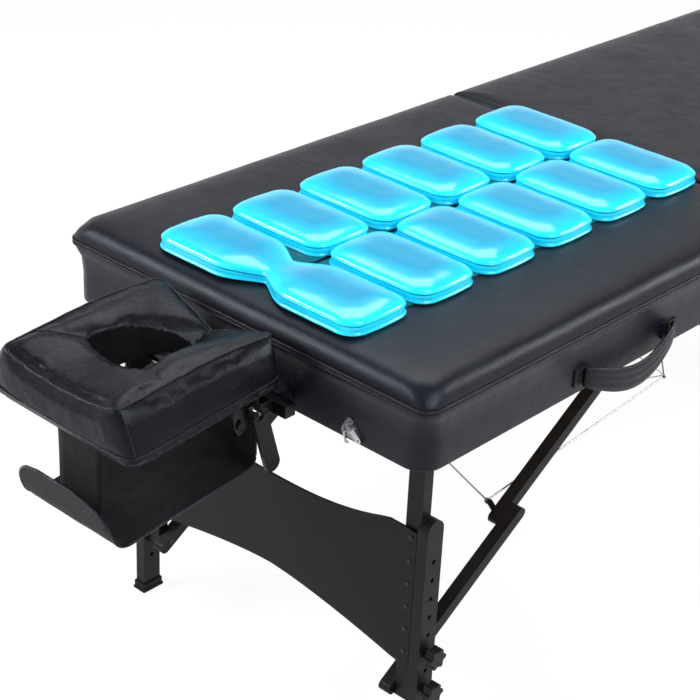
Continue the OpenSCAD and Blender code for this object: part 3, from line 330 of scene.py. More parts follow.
def tube(name, pts, r, mat, body=None, closed=False):
    """A round bead along a line of points."""
    pts = [Vector(p) for p in pts]
    n, verts = len(pts), []
    up = Vector((0, 0, 1))
    for i, p in enumerate(pts):
        before = pts[(i - 1) % n] if closed or i else pts[0]
        after = pts[(i + 1) % n] if closed or i < n - 1 else pts[-1]
        d = (after - before).normalized()
        side = d.cross(up)
        side = side.normalized() if side.length > 1e-4 else Vector((1, 0, 0))
        top = side.cross(d)
        for k in range(BEAD_SIDES):
            q = 2 * pi * k / BEAD_SIDES
            verts.append(p + side * r * cos(q) + top * r * sin(q))
    last = (n - 1) * BEAD_SIDES
    faces = skin([verts[i * BEAD_SIDES:(i + 1) * BEAD_SIDES] for i in range(n)])
    if closed:
        for k in range(BEAD_SIDES):
            following = (k + 1) % BEAD_SIDES
            faces.append((last + k, last + following, following, k))
    else:
        faces += [tuple(reversed(range(BEAD_SIDES))), tuple(range(last, n * BEAD_SIDES))]
    return mesh_obj(name, verts, faces, mat, body)


def bead(pts, r, closed=False):
    """Vinyl piping that is joined to others later."""
    return tube("bead", pts, r, "piping", closed=closed)


def join(name, objs, body, replaces=()):
    """One object from several that have no body yet."""
    bpy.ops.object.select_all(action="DESELECT")
    for o in objs:
        o.select_set(True)
    bpy.context.view_layer.objects.active = objs[0]
    bpy.ops.object.join()
    o = bpy.context.view_layer.objects.active
    o.name = o.data.name = name
    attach(o, body)
    if replaces:
        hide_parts(*replaces)
    return o


def applied(o, kind, **props):
    """Adds a modifier to an object and applies it."""
    m = o.modifiers.new(kind.lower(), kind)
    for key, value in props.items():
        setattr(m, key, value)
    bpy.context.view_layer.objects.active = o
    bpy.ops.object.modifier_apply(modifier=m.name)


def clean_mesh(o, merge=None):
    """Turns all faces outward, and merges points that lie together where a distance is given."""
    b = bmesh.new()
    b.from_mesh(o.data)
    if merge:
        bmesh.ops.remove_doubles(b, verts=b.verts, dist=merge)
    bmesh.ops.recalc_face_normals(b, faces=b.faces)
    b.to_mesh(o.data)
    b.free()


def smooth_line(pts, per):
    """Catmull-Rom through the points, with so many steps between two of them."""
    line = [np.array(p, float) for p in pts]
    line = [2 * line[0] - line[1]] + line + [2 * line[-1] - line[-2]]
    out = []
    for i in range(1, len(line) - 2):
        a, b, c, d = line[i - 1:i + 3]
        for step in range(per):
            t = step / per
            out.append(0.5 * (2 * b + (c - a) * t + (2 * a - 5 * b + 4 * c - d) * t * t
                              + (3 * b - a - 3 * c + d) * t ** 3))
    out.append(line[-2])
    return out


def between(a, b, shares):
    """Points at shares of the way from a to b."""
    a, b = np.array(a), np.array(b)
    return [tuple(a + (b - a) * t) for t in shares]


# ---------------------------------------------------------------- the covered top, one piece per half
ARC_N, SIDE_N, END_N = 12, 76, 62  # steps along a corner, a side and an end
CENTRE_CORNER = 20.0
SEAM_CORNER, CORNER_GROWTH = 24, 20  # corners are tight at the seam and wider below it and up the crown
GROWTH_BELOW, GROWTH_ABOVE = 40, 22
FRAME_INSET = 9.4
CENTRE_SHARE = 0.5  # insets at the centre joint, as a share of those at the other edges
# height, and inset from the seam
WALL = [(FRAME_Z, FRAME_INSET), (FRAME_Z, 8.0), (FRAME_Z + 0.6, 7.2), (FRAME_Z + 3, FLARE),
        (FRAME_Z + 25, FLARE), (FRAME_Z + 50, FLARE), (DECK_Z, 6.9), (DECK_Z + 8, 3.6),
        (DECK_Z + 16, 1.4), (SEAM_Z - 6.2, 0.5), (SEAM_Z - 5.2, 1.4), (SEAM_Z - 4.2, 0.3),
        (SEAM_Z - 2.2, 0.0), (SEAM_Z - 1.0, 1.2)]
CROWN = [(SEAM_Z + 1.0, 1.4), (SEAM_Z + 2.4, 0.6), (SEAM_Z + 5.5, 1.2), (SEAM_Z + 8.5, 2.1),
         (SEAM_Z + 12.5, 3.4), (SEAM_Z + 17, 5.6), (SEAM_Z + 21.5, 8.8), (SEAM_Z + 25.5, 13.2),
         (SEAM_Z + 28.8, 18.6), (SEAM_Z + 31.3, 26), (SEAM_Z + 33.3, 36), (SEAM_Z + 34.6, 48),
         (SEAM_Z + 35.4, 64), (CROWN_Z - 0.2, 84), (CROWN_Z - 0.1, 110)]
CROWN += [(CROWN_Z, inset) for inset in (142, 180, 222, 268, 316, 350)]
BEADS = ((SEAM_Z, 0.4, 1.6), (SEAM_Z - 6.4, 0.5, 1.5))  # height, inset and radius of the piping
STITCH_Z, STITCH_PITCH, STITCH_BOW = SEAM_Z - 3.2, 5.5, 0.45
STITCH_R, STITCH_END_R = 0.55, 0.25
UNEVEN_FROM = SEAM_Z + 4
WAVE_H, WAVE_L, WAVE_RISE, WAVE_FADE = 1.1, 95, 30, 90  # undulations: height, length, insets to rise and fade
GATHER_H, CORNER_GATHER_H, GATHER_L = 0.35, 1.4, 11
GATHER_INSET, GATHER_REACH, CORNER_IN, CORNER_REACH = 5, 22, 14, 90
FOOT_SEED, GATHER_SEED = 3.7, 7.1


def from_head(x, flip):
    """The same place on the other half where flip is set."""
    return 2 * HALF_L - x if flip else x


def ring(side, end, centre, corner=SEAM_CORNER):
    """Points round a half of the top, inset from its seam."""
    w = TOP_W / 2 - side
    x0, x1 = end, HALF_END - centre
    r0 = min(max(corner - side, corner / 4), 0.6 * w)
    r1 = max(CENTRE_CORNER - side, CENTRE_CORNER / 4)
    corners = [((x1 - r1, w - r1), r1, 0), ((x0 + r0, w - r0), r0, 90),
               ((x0 + r0, r0 - w), r0, 180), ((x1 - r1, r1 - w), r1, 270)]
    arcs = []
    for (cx, cy), r, start in corners:
        turn = [math.radians(start + 90 * i / ARC_N) for i in range(ARC_N + 1)]
        arcs.append([(cx + r * cos(a), cy + r * sin(a)) for a in turn])
    pts = []
    for k, arc in enumerate(arcs):
        pts += arc
        a, b = arc[-1], arcs[(k + 1) % 4][0]
        n = SIDE_N if k % 2 == 0 else END_N
        pts += [(a[0] + (b[0] - a[0]) * i / n, a[1] + (b[1] - a[1]) * i / n) for i in range(1, n)]
    return pts


def corner_at(z):
    reach = GROWTH_BELOW if z < SEAM_Z else GROWTH_ABOVE
    return SEAM_CORNER + CORNER_GROWTH * min(1, abs(z - SEAM_Z) / reach)


def crown_lift(v, inset, flip):
    """Soft undulations, flat in the middle, and gathers at the seam that are strongest at the corners."""
    q = Vector((v.x / WAVE_L, v.y / WAVE_L, (FOOT_SEED if flip else 0.0) + v.z / WAVE_L))
    wave = WAVE_H * noise.noise(q * 0.9) * min(1, inset / WAVE_RISE, (CROWN[-1][1] - inset) / WAVE_FADE)
    edge = max(0.0, 1 - abs(inset - GATHER_INSET) / GATHER_REACH)
    off = math.dist((abs(v.x - HALF_L / 2), abs(v.y)), (HALF_L / 2 - CORNER_IN, TOP_W / 2 - CORNER_IN))
    corner = max(0.0, 1 - off / CORNER_REACH)
    gather = noise.noise(Vector((v.x / GATHER_L, v.y / GATHER_L, GATHER_SEED)))
    return wave + edge * (GATHER_H + CORNER_GATHER_H * corner) * gather


def peg_hole(o, x, y):
    """A hole that one of the cradle's pegs goes into."""
    bpy.ops.mesh.primitive_cylinder_add(vertices=48, radius=PEG_HOLE_R / 1000,
                                        depth=PEG_HOLE_DEPTH / 1000,
                                        location=row((x, y, PEG_Z)), rotation=(0, pi / 2, 0))
    drill = bpy.context.active_object
    applied(o, "BOOLEAN", object=drill, solver="EXACT")
    bpy.data.objects.remove(drill)


def cover(name, flip, body, replaced):
    """Vinyl over foam: a closed skin that turns in at the frame's lower edge and runs back up to the deck."""
    below = [(DECK_Z, FRAME_INSET)] + WALL
    rings = [(z, i, ring(i, i, 0, corner_at(z))) for z, i in below]
    rings += [(z, i, ring(i, i, i * CENTRE_SHARE, corner_at(z) + 0.5 * i)) for z, i in CROWN]
    verts = []
    for z, inset, pts in rings:
        for x, y in pts:
            v = Vector((x, y, z))
            if z > UNEVEN_FROM:
                v.z += crown_lift(v, inset, flip)
            v.x = from_head(v.x, flip)
            verts.append(v)
    n = len(rings[0][2])
    faces = skin([pts for _, _, pts in rings])
    faces += [tuple(range(len(verts) - n, len(verts))), tuple(reversed(range(n)))]
    if flip:
        faces = [tuple(reversed(f)) for f in faces]
    o = mesh_obj(name, verts, faces, "vinyl")
    for s in (-1, 1):
        peg_hole(o, from_head(FLARE, flip), s * PEG_Y)
    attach(o, body)
    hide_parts(*replaced)
    # two rows of piping, with stitches between them
    beads = []
    for z, inset, r in BEADS:
        pts = [(from_head(x, flip), y, z) for x, y in ring(inset, inset, inset * CENTRE_SHARE)]
        beads.append(bead(pts, r, closed=True))
    join(name.replace("cover", "piping"), beads, body)
    stitches(name.replace("cover", "stitches"), flip, body)


def stitches(name, flip, body):
    """Short thread stitches between the rows of piping."""
    verts, faces = [], []
    stitch_faces = skin([range(4)] * 3)
    pts = [Vector((x, y, STITCH_Z)) for x, y in ring(0.2, 0.2, 0.1)]
    for a, b in zip(pts, pts[1:] + pts[:1]):
        count = max(1, round((b - a).length / STITCH_PITCH))
        d = (b - a) / count
        out = Vector((d.y, -d.x, 0)).normalized()
        for k in range(count):
            start, end = a + d * (k + 0.18), a + d * (k + 0.82)
            middle = (start + end) / 2 + out * STITCH_BOW
            faces += [tuple(len(verts) + i for i in f) for f in stitch_faces]
            for p, r in ((start, STITCH_END_R), (middle, STITCH_R), (end, STITCH_END_R)):
                for across, up in ((1, 0), (0, 1), (-1, 0), (0, -1)):
                    verts.append(p + out * r * across + Vector((0, 0, r * up)))
    verts = [Vector((from_head(v.x, flip), v.y, v.z)) for v in verts]
    mesh_obj(name, verts, faces, "stitch", body)


cover("head_cover", False, "head_frame", ("head_skirt", "head_cushion"))
cover("foot_cover", True, "foot_frame", ("foot_skirt", "foot_cushion"))

# ---------------------------------------------------------------- gel overlay
GEL_Z = CROWN_Z + 0.3
PILLOW_L, PILLOW_W, PILLOW_R = 134.0, 208.0, 32
PILLOWS, FIRST_X, PITCH_X, ROW_Y = 6, 95, 150, 107
RIM_Z, DOME_H, DOME_INSET, DOME_RUN = 18.5, 13.4, 3.4, 56
WAIST, WAIST_REACH = 31, 76  # half the width of the first pillows' waist, and how far it widens over
EDGE_BOW, EDGE_BOW_L = 1.6, 72
GEL_WAVE_L, DOME_WAVE_H, RIM_WAVE_H, DOME_WAVE_FROM, DOME_WAVE_FULL = 34, 0.9, 0.3, 19, 32
DEPTH_WAVE = 0.1
SPINE_END, SPINE_RUN, NECK_REACH = 62, 60, 72  # the double pillow's spine and the low stretch at its waist
FILM_LOW, FILM_HIGH, FILM_INNER = 0.1, 2.4, 4
FILM_EDGE = ((0, 92), (45, 90), (68, 84), (82, 84))  # on from a pillow's middle, and out from its row's
PILLOW_ARC_N, PILLOW_SIDE_N = 9, 10


def dome_row(inset):
    share = (inset - DOME_INSET) / DOME_RUN
    return RIM_Z + DOME_H * (1 - (1 - share) ** 2.4) ** 0.6, inset, share ** 0.7


# height, inset from the lower rim, and how thick the gel looks there, which sets its colour: the low values on
# the rims and walls paint the pale glow of light through the gel
GEL_ROWS = [(0.0, 4, 0), (1.0, 0.7, 0), (2.4, 0.0, 0), (3.8, 0.8, 0), (4.8, 2.6, 0), (8.5, 2.0, 0.03),
            (12.5, 2.4, 0.05), (14.8, 3.5, 0), (15.8, 1.4, 0), (16.8, 1.1, 0), (17.8, 1.7, 0),
            (RIM_Z, DOME_INSET, 0.0)]
GEL_ROWS += [dome_row(i) for i in (4.0, 5.0, 6.5, 8.5, 11.0, 14.0, 18, 23, 29, 36, 44, 52, 57.5)]


def gel_wave(x, y, z, seed):
    """A filled pillow's unevenness, and how far it lifts a point of this row."""
    wave = noise.noise(Vector((x / GEL_WAVE_L, y / GEL_WAVE_L, seed)))
    if z > DOME_WAVE_FROM:
        return wave, DOME_WAVE_H * wave * (z / DOME_WAVE_FULL)
    return wave, RIM_WAVE_H * wave


def pillow_ring(inset):
    """A rounded rectangle whose sides bow outward a little."""
    a, b = PILLOW_L / 2 - inset, PILLOW_W / 2 - inset
    r = min(max(PILLOW_R - inset * 0.35, 6), a - 0.5)
    quarters = ((1, 1), (-1, 1), (-1, -1), (1, -1))
    pts = []
    for q, (sx, sy) in enumerate(quarters):
        for i in range(PILLOW_ARC_N):
            t = math.radians(90 * q + 90 * i / (PILLOW_ARC_N - 1))
            pts.append((sx * (a - r) + r * cos(t), sy * (b - r) + r * sin(t)))
        nx, ny = quarters[(q + 1) % 4]
        start, t = pts[-1], math.radians(90 * (q + 1))
        end = (nx * (a - r) + r * cos(t), ny * (b - r) + r * sin(t))
        for i in range(1, PILLOW_SIDE_N):
            k = i / PILLOW_SIDE_N
            bow = EDGE_BOW * sin(pi * k)
            pts.append((start[0] + (end[0] - start[0]) * k + bow * cos(t),
                        start[1] + (end[1] - start[1]) * k + bow * sin(t)))
    return pts


def gel_pillow(cx, cy, seed):
    """One pillow: its points, faces and the depth at each point, which sets the painted glow of its colour."""
    verts, depth = [], []
    for z, inset, thick in GEL_ROWS:
        for x, y in pillow_ring(inset):
            wave, lift = gel_wave(x + cx, y + cy, z, seed)
            verts.append((x + cx, y + cy, GEL_Z + z + lift))
            depth.append(thick + DEPTH_WAVE * wave * (thick > 0.2))
    n = len(verts) // len(GEL_ROWS)
    faces = skin([range(n)] * len(GEL_ROWS))
    faces += [tuple(reversed(range(n))), tuple(range(len(verts) - n, len(verts)))]
    return verts, faces, depth


def twin_pillow(cx, seed):
    """The first two pillows are one, with a waist between them."""
    half, far = PILLOW_L / 2, ROW_Y + PILLOW_W / 2
    straight = far - PILLOW_R

    def across(y):
        over = max(0.0, abs(y) - straight)
        if over:
            return half - PILLOW_R + math.sqrt(max(0.0, PILLOW_R ** 2 - over * over))
        return WAIST + (half - WAIST) * sin(pi / 2 * min(1, abs(y) / WAIST_REACH)) ** 1.25

    turn = [straight + PILLOW_R * sin(pi / 2 * i / 9) for i in range(10)]
    ys = [-v for v in reversed(turn)] + list(np.linspace(-straight, straight, 61))[1:-1] + turn
    flat = list(np.linspace(half - PILLOW_R, PILLOW_R - half, 9))[1:-1]
    outline = [(across(y), y) for y in ys]
    outline += [(x, far + EDGE_BOW * cos(pi * x / EDGE_BOW_L)) for x in flat]
    outline += [(-across(y), y) for y in reversed(ys)]
    outline += [(-x, -far - EDGE_BOW * cos(pi * x / EDGE_BOW_L)) for x in flat]
    verts, depth = [], []
    spine = far - SPINE_END  # the rows shrink toward this line
    for z, inset, thick in GEL_ROWS:
        k = inset / SPINE_RUN
        for x, y in outline:
            px, py = x * (1 - k), y + (max(-spine, min(spine, y)) - y) * k
            full = 0.5 - 0.5 * cos(pi * min(1, abs(py) / NECK_REACH))
            up = RIM_Z + (z - RIM_Z) * (0.45 + 0.55 * full) if z > RIM_Z else z * (0.8 + 0.2 * full)
            wave, lift = gel_wave(px + cx, py, z, seed)
            verts.append((px + cx, py, GEL_Z + up + lift))
            # the low waist gets less depth, so more painted glow there
            depth.append(thick * (0.55 + 0.45 * full) + DEPTH_WAVE * wave * (thick > 0.2))
    n = len(outline)
    last = len(verts) - n
    faces = skin([outline] * len(GEL_ROWS)) + [tuple(reversed(range(n)))]
    # the crown closes with quads from side to side
    m, e = len(ys), len(flat)
    right = [last + i for i in range(m)]
    left = [last + m + e + (m - 1 - i) for i in range(m)]
    faces += [(right[i], right[i + 1], left[i + 1], left[i]) for i in range(m - 1)]
    faces.append((right[-1], *range(last + m, last + m + e), left[-1]))
    faces.append((left[0], *range(last + 2 * m + e, last + n), right[0]))
    return verts, faces, depth


def gel_pillows():
    jobs = [gel_pillow(FIRST_X + PITCH_X * i, s * ROW_Y, i * 2.3 + s)
            for i in range(1, PILLOWS) for s in (-1, 1)]
    jobs.append(twin_pillow(FIRST_X, 0.7))
    parts = []
    for verts, faces, depth in jobs:
        o = mesh_obj("gel_part", verts, faces, "gel")
        # the depth drives the gel's colour, including its painted glow
        o.data.attributes.new("depth", "FLOAT", "POINT").data.foreach_set("value", depth)
        parts.append(o)
    o = join("gel_pillows", parts, "gel_overlay", ("gel_pad",))
    clean_mesh(o)


def gel_film():
    """The thin film that joins the pillows: one strip per row, necked between them."""
    low, high = GEL_Z + FILM_LOW, GEL_Z + FILM_HIGH
    verts, faces = [], []
    for s in (-1, 1):
        edge = []
        for i in range(PILLOWS):
            c = FIRST_X + PITCH_X * i
            edge += [(c + along, out) for along, out in (FILM_EDGE if i < PILLOWS - 1 else FILM_EDGE[:1])]
        loop = [(x, s * (ROW_Y + w)) for x, w in edge] + [(x, s * FILM_INNER) for x, w in reversed(edge)]
        if s < 0:
            loop.reverse()
        n, base = len(loop), len(verts)
        verts += [(x, y, low) for x, y in loop] + [(x, y, high) for x, y in loop]
        faces += [tuple(base + i for i in reversed(range(n))), tuple(base + n + i for i in range(n))]
        faces += [tuple(base + i for i in f) for f in skin([loop] * 2)]
    mesh_obj("gel_film", verts, faces, "film", "gel_overlay", smooth=False)


gel_pillows()
gel_film()

# ---------------------------------------------------------------- face cushion
PIVOT_X, PIVOT_Z = -67.0, 609.0
TILT = math.radians(6)
CUSHION_BASE = 53.3  # above the pivot
CUSHION_L, CUSHION_W, REAR_X = 280.0, 306.0, 27.0
HALF_W = CUSHION_W / 2
REAR_H, FRONT_H, VALLEY_H, FRONT_DIP = 58.0, 77.0, 18, 14
FALL_SHARE, VALLEY_SHARE = 0.5, 0.42
SIDE_LEAN, REAR_LEAN, FRONT_LEAN, MIDDLE_LEAN_SHARE = 30, 23, 6, 0.35
CORNER_POWER = 18
SLICES, VOXEL = 168, 0.004
FOLD_DEPTH = 0.0008  # metres
FOLD_L = (34, 24, 40)
TOP_SWELL, RIM_DROP, FULL_SWELL_H, RIM_UNDER = 4.0, 2.5, 50, 3
HOLE_REAR_X, HOLE_SHARE_X, HOLE_SHARE_Y = -12, 0.3, 0.95
# THROAT_X, THROAT_Y, THROAT_TOP, ARM_Y and STEEP bound the faces of the opening's wall that get the painted
# shade
THROAT_X, THROAT_Y, THROAT_TOP, ARM_Y, STEEP = (-148, 24), 62, 0.8, 140, 0.5
PIPING_N, RIDGE_PIPE_R, ZIP_R, SEAM_R = 240, 1.6, 1.2, 0.9
PANEL_SEAM = ((-146, 62), (-160, 77), (-176, 95), (-192, 116))  # along and across, from the opening outward

# the opening's rim on the far side: angle, along, across, share of the ridge's height
RIM = [(0, 26, 0, 0.82), (12, 12, 7, 0.8), (30, -16, 24, 0.78), (50, -46, 40, 0.78), (62, -63, 48, 0.8),
       (76, -82, 53, 0.84), (96, -106, 57, 0.9), (112, -126, 62, 0.9), (124, -140, 62, 0.9),
       (132, -146, 54, 0.92), (150, -147, 26, 0.95), (180, -147, 0, 0.95)]
RIM_LINE = np.array(smooth_line(RIM, 8))
# shares of the way in and up the outer wall, along the top panel, and in and down the opening's wall
WALLS = [(0, 0), (0.02, 0.06), (0.06, 0.16), (0.1, 0.25), (0.25, 0.42), (0.4, 0.57), (0.55, 0.72),
         (0.78, 0.87), (1, 0.985)]
CROWNS = [0.02, 0.1, 0.2, 0.32, 0.44, 0.56, 0.68, 0.79, 0.88, 0.95, 1.0]
THROAT = [(0.1, 0.93), (0.22, 0.8), (0.4, 0.62), (0.6, 0.42), (0.76, 0.24), (0.9, 0.1), (1, 0)]
ZIP_POINT, RIDGE_POINT = 2, 9  # where the zip's line and the ridge lie in a slice


def tilted(x, z):
    """A place on the cradle's own axes, which start at the pivot and lean with it."""
    return (PIVOT_X + x * cos(TILT) - z * sin(TILT), PIVOT_Z + x * sin(TILT) + z * cos(TILT))


def in_cradle(p):
    """A place on the cushion's axes, from its underside."""
    x, z = tilted(p[0], p[2] + CUSHION_BASE)
    return (x, p[1], z)


def outer_point(a):
    length, width = CUSHION_L / 2, HALF_W
    r = ((abs(cos(a)) / length) ** CORNER_POWER + (abs(sin(a)) / width) ** CORNER_POWER) ** (-1 / CORNER_POWER)
    return REAR_X - length + r * cos(a), r * sin(a)


def ridge_h(p):
    """The ridge falls along the arms, and is lowest at the middle of the rear."""
    t = (REAR_X - p[0]) / CUSHION_L
    s = min(1, abs(p[1]) / HALF_W)
    fall = (FRONT_H - REAR_H) * (1 - min(1, t / FALL_SHARE)) ** 2
    valley = (REAR_H - VALLEY_H) * (1 - s ** 0.8) * (1 - min(1, t / VALLEY_SHARE)) ** 1.2
    return FRONT_H - fall - valley - FRONT_DIP * (1 - s * s) * max(t, 0) ** 3


def ridge_point(o):
    """The ridge stands in from the outline, by the walls' lean."""
    t = (REAR_X - o[0]) / CUSHION_L
    s = min(1, abs(o[1]) / HALF_W)
    rear = REAR_LEAN * (MIDDLE_LEAN_SHARE + (1 - MIDDLE_LEAN_SHARE) * s) * max(1 - t, 0) ** 3
    return (o[0] + FRONT_LEAN * max(t, 0) ** 3 + rear, o[1] * (1 - SIDE_LEAN / HALF_W))


def rim_point(a):
    deg = math.degrees(a) % 360
    x, y, h = (float(np.interp(min(deg, 360 - deg), RIM_LINE[:, 0], RIM_LINE[:, k])) for k in (1, 2, 3))
    return x, y if deg < 180 else -y, h


def hole_point(a):
    """The opening narrows toward the underside, most at the rear."""
    x, y, _ = rim_point(a)
    return min(x - 1, HOLE_REAR_X + HOLE_SHARE_X * (x - RIM[0][1])), y * HOLE_SHARE_Y


def section(a):
    """One slice of the padding: outer wall, ridge, top panel down to the rim, opening's wall."""
    o, i, b = outer_point(a), rim_point(a), hole_point(a)
    h, e = ridge_h(o), ridge_point(o)
    pts = [(o[0] + (e[0] - o[0]) * s, o[1] + (e[1] - o[1]) * s, h * v) for s, v in WALLS]
    low = h * i[2]
    for s in CROWNS:
        swell = TOP_SWELL * sin(pi * s) * min(1, h / FULL_SWELL_H) - RIM_DROP * s ** 14
        pts.append((e[0] + (i[0] - e[0]) * s, e[1] + (i[1] - e[1]) * s, h + (low - h) * s ** 1.25 + swell))
    pts += [(i[0] + (b[0] - i[0]) * s, i[1] + (b[1] - i[1]) * s, (low - RIM_UNDER) * v) for s, v in THROAT]
    return pts


def simulate(o, pressure, cap, frames, pinned):
    """Cloth under inner pressure, with each point's way capped in metres, then applied."""
    start = [v.co.copy() for v in o.data.vertices]
    group = o.vertex_groups.new(name="pin")
    group.add([v.index for v in o.data.vertices if pinned(v.co)], 1.0, "REPLACE")
    m = o.modifiers.new("cloth", "CLOTH")
    s = m.settings
    s.use_pressure = True
    s.uniform_pressure_force = pressure
    s.effector_weights.gravity = 0
    s.tension_stiffness = s.compression_stiffness = 12
    s.bending_stiffness = 0.8
    s.mass = 0.35
    s.vertex_group_mass = group.name
    scene = bpy.context.scene
    scene.frame_start, scene.frame_end = 1, frames
    m.point_cache.frame_start, m.point_cache.frame_end = 1, frames
    for f in range(1, frames + 1):
        scene.frame_set(f)
    shape = o.evaluated_get(bpy.context.evaluated_depsgraph_get()).to_mesh()
    moved = [v.co.copy() for v in shape.vertices]
    o.modifiers.remove(m)
    scene.frame_set(1)
    for v, a, b in zip(o.data.vertices, start, moved):
        d = b - a
        v.co = a + (d if d.length <= cap else d.normalized() * cap)
    o.data.update()


def near_underside(co):
    """Whether a place is less than 60 mm above the pivot, in the cushion's lowest 7 mm; these stay still."""
    x, z = co.x - (PIVOT_X - ORIGIN[0]) / 1000, co.z - PIVOT_Z / 1000
    return z * cos(TILT) - x * sin(TILT) < 0.060


def gets_painted_shade(f):
    """Whether a face is on the wall of the opening, which gets a near-black material as painted shade."""
    c = f.center * 1000 + ORIGIN
    x, z = c.x - PIVOT_X, c.z - PIVOT_Z
    x, z = x * cos(TILT) + z * sin(TILT), z * cos(TILT) - x * sin(TILT) - CUSHION_BASE
    inside = THROAT_X[0] < x < THROAT_X[1] and abs(c.y) < THROAT_Y
    return inside and z < THROAT_TOP * ridge_h((x, ARM_Y)) and f.normal.z < STEEP


def face_cushion():
    rings = [[in_cradle(p) for p in section(2 * pi * (k + 0.5) / SLICES)] for k in range(SLICES)]
    n = len(rings[0])
    faces = []
    for k in range(SLICES):
        for i in range(n):
            j, after = (i + 1) % n, (k + 1) % SLICES
            faces.append((k * n + i, after * n + i, after * n + j, k * n + j))
    o = mesh_obj("face_cushion", [p for r in rings for p in r], faces, "cradle_vinyl")
    clean_mesh(o, merge=0.00005)
    applied(o, "REMESH", mode="VOXEL", voxel_size=VOXEL)
    simulate(o, pressure=3.0, cap=0.0022, frames=16, pinned=near_underside)
    # folds where the vinyl is pulled over the corners and into the opening
    for v in o.data.vertices:
        c = v.co * 1000
        q = Vector((c.x / FOLD_L[0], c.y / FOLD_L[1], c.z / FOLD_L[2]))
        v.co += v.normal * (noise.noise(q) * 0.6 + 0.5 * noise.noise(q * 2.6)) * FOLD_DEPTH
    o.data.update()
    o.data.polygons.foreach_set("use_smooth", [True] * len(o.data.polygons))
    # the opening's walls get a near-black material: painted shade where the inside lies in shadow
    o.data.materials.append(M["painted_shade_throat"])
    for f in o.data.polygons:
        if gets_painted_shade(f):
            f.material_index = 1
    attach(o, "cradle_head")
    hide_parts("cradle_cushion")
    return o


def cushion_piping(o):
    """Piping on the ridge, the zip's line, the top panels' seams and the front corners."""
    surface = BVHTree.FromPolygons([v.co for v in o.data.vertices], [f.vertices[:] for f in o.data.polygons])
    down = (Vector(row(in_cradle((0, 0, 0)))) - Vector(row(in_cradle((0, 0, 100))))).normalized()

    def laid(x, y, lift=0.2):
        """The place on the cushion under a point, or none over the opening."""
        hit = surface.ray_cast(Vector(row(in_cradle((x, y, 300)))), down)[0]
        return None if hit is None else design(hit - down * lift / 1000)

    def nearest(a, k, out):
        """The place on the cushion nearest to a slice's point, a little outside the skin."""
        place, normal, _, _ = surface.find_nearest(Vector(row(in_cradle(section(a)[k]))))
        return design(place + normal * out / 1000)

    angles = [2 * pi * (k + 0.5) / PIPING_N for k in range(PIPING_N)]
    beads = [bead([nearest(a, RIDGE_POINT, 0.6) for a in angles], RIDGE_PIPE_R, closed=True),
             bead([nearest(a, ZIP_POINT, 0.5) for a in angles], ZIP_R, closed=True)]
    for s in (-1, 1):
        line = smooth_line([(x, s * y) for x, y in PANEL_SEAM], 10)
        beads.append(bead([p for p in (laid(x, y) for x, y in line) if p], SEAM_R))
    for s in (-1, 1):
        a = math.atan2(s * HALF_W, -CUSHION_L / 2) * 0.985
        beads.append(bead([nearest(a, k, 0.4) for k in range(ZIP_POINT, RIDGE_POINT + 1)], ZIP_R))
    join("face_cushion_piping", beads, "cradle_head")


cushion_piping(face_cushion())

# ---------------------------------------------------------------- arm sling
SLING_X, SLING_Z, SLING_W, SLING_DROP = 26, 45, 196, 152
SLING_RUN, SLING_FALL, FLOOR_START = 264, 33, 4
FLAP_OUT, FLAP_H, FLAP_R = 28, 82, 60.0
REAR_BEND, FRONT_BEND = 16, 26
STRAP_X, STRAP_W, STRAP_BOW, STRAP_N = -218, 90, 1.5, 8
SHEET_T = 0.0018  # metres
SLING_COLS, HEM_R = 24, 2.0
SAG, SAG_FROM, SAG_TO = 4.0, 150, 420  # along the cloth from its top edge
RIPPLE, RIPPLE_FROM, RIPPLE_TO = 1.2, 140, 430


def bend(a, b, c, r):
    """A curve round the corner b, from r before it to r after it."""
    a, b, c = (np.array(v) for v in (a, b, c))
    u, v = (a - b) / np.linalg.norm(a - b), (c - b) / np.linalg.norm(c - b)
    return [tuple((1 - t) ** 2 * (b + r * u) + 2 * t * (1 - t) * b + t * t * (b + r * v))
            for t in np.linspace(0, 1, 7)]


def sheet_obj(name, rows, mat):
    """A sheet from rows of points, given its thickness."""
    faces = skin(rows, closed=False)
    o = mesh_obj(name, [p for r in rows for p in r], faces, mat)
    applied(o, "SOLIDIFY", thickness=SHEET_T, offset=0)
    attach(o, "cradle_head")
    return o


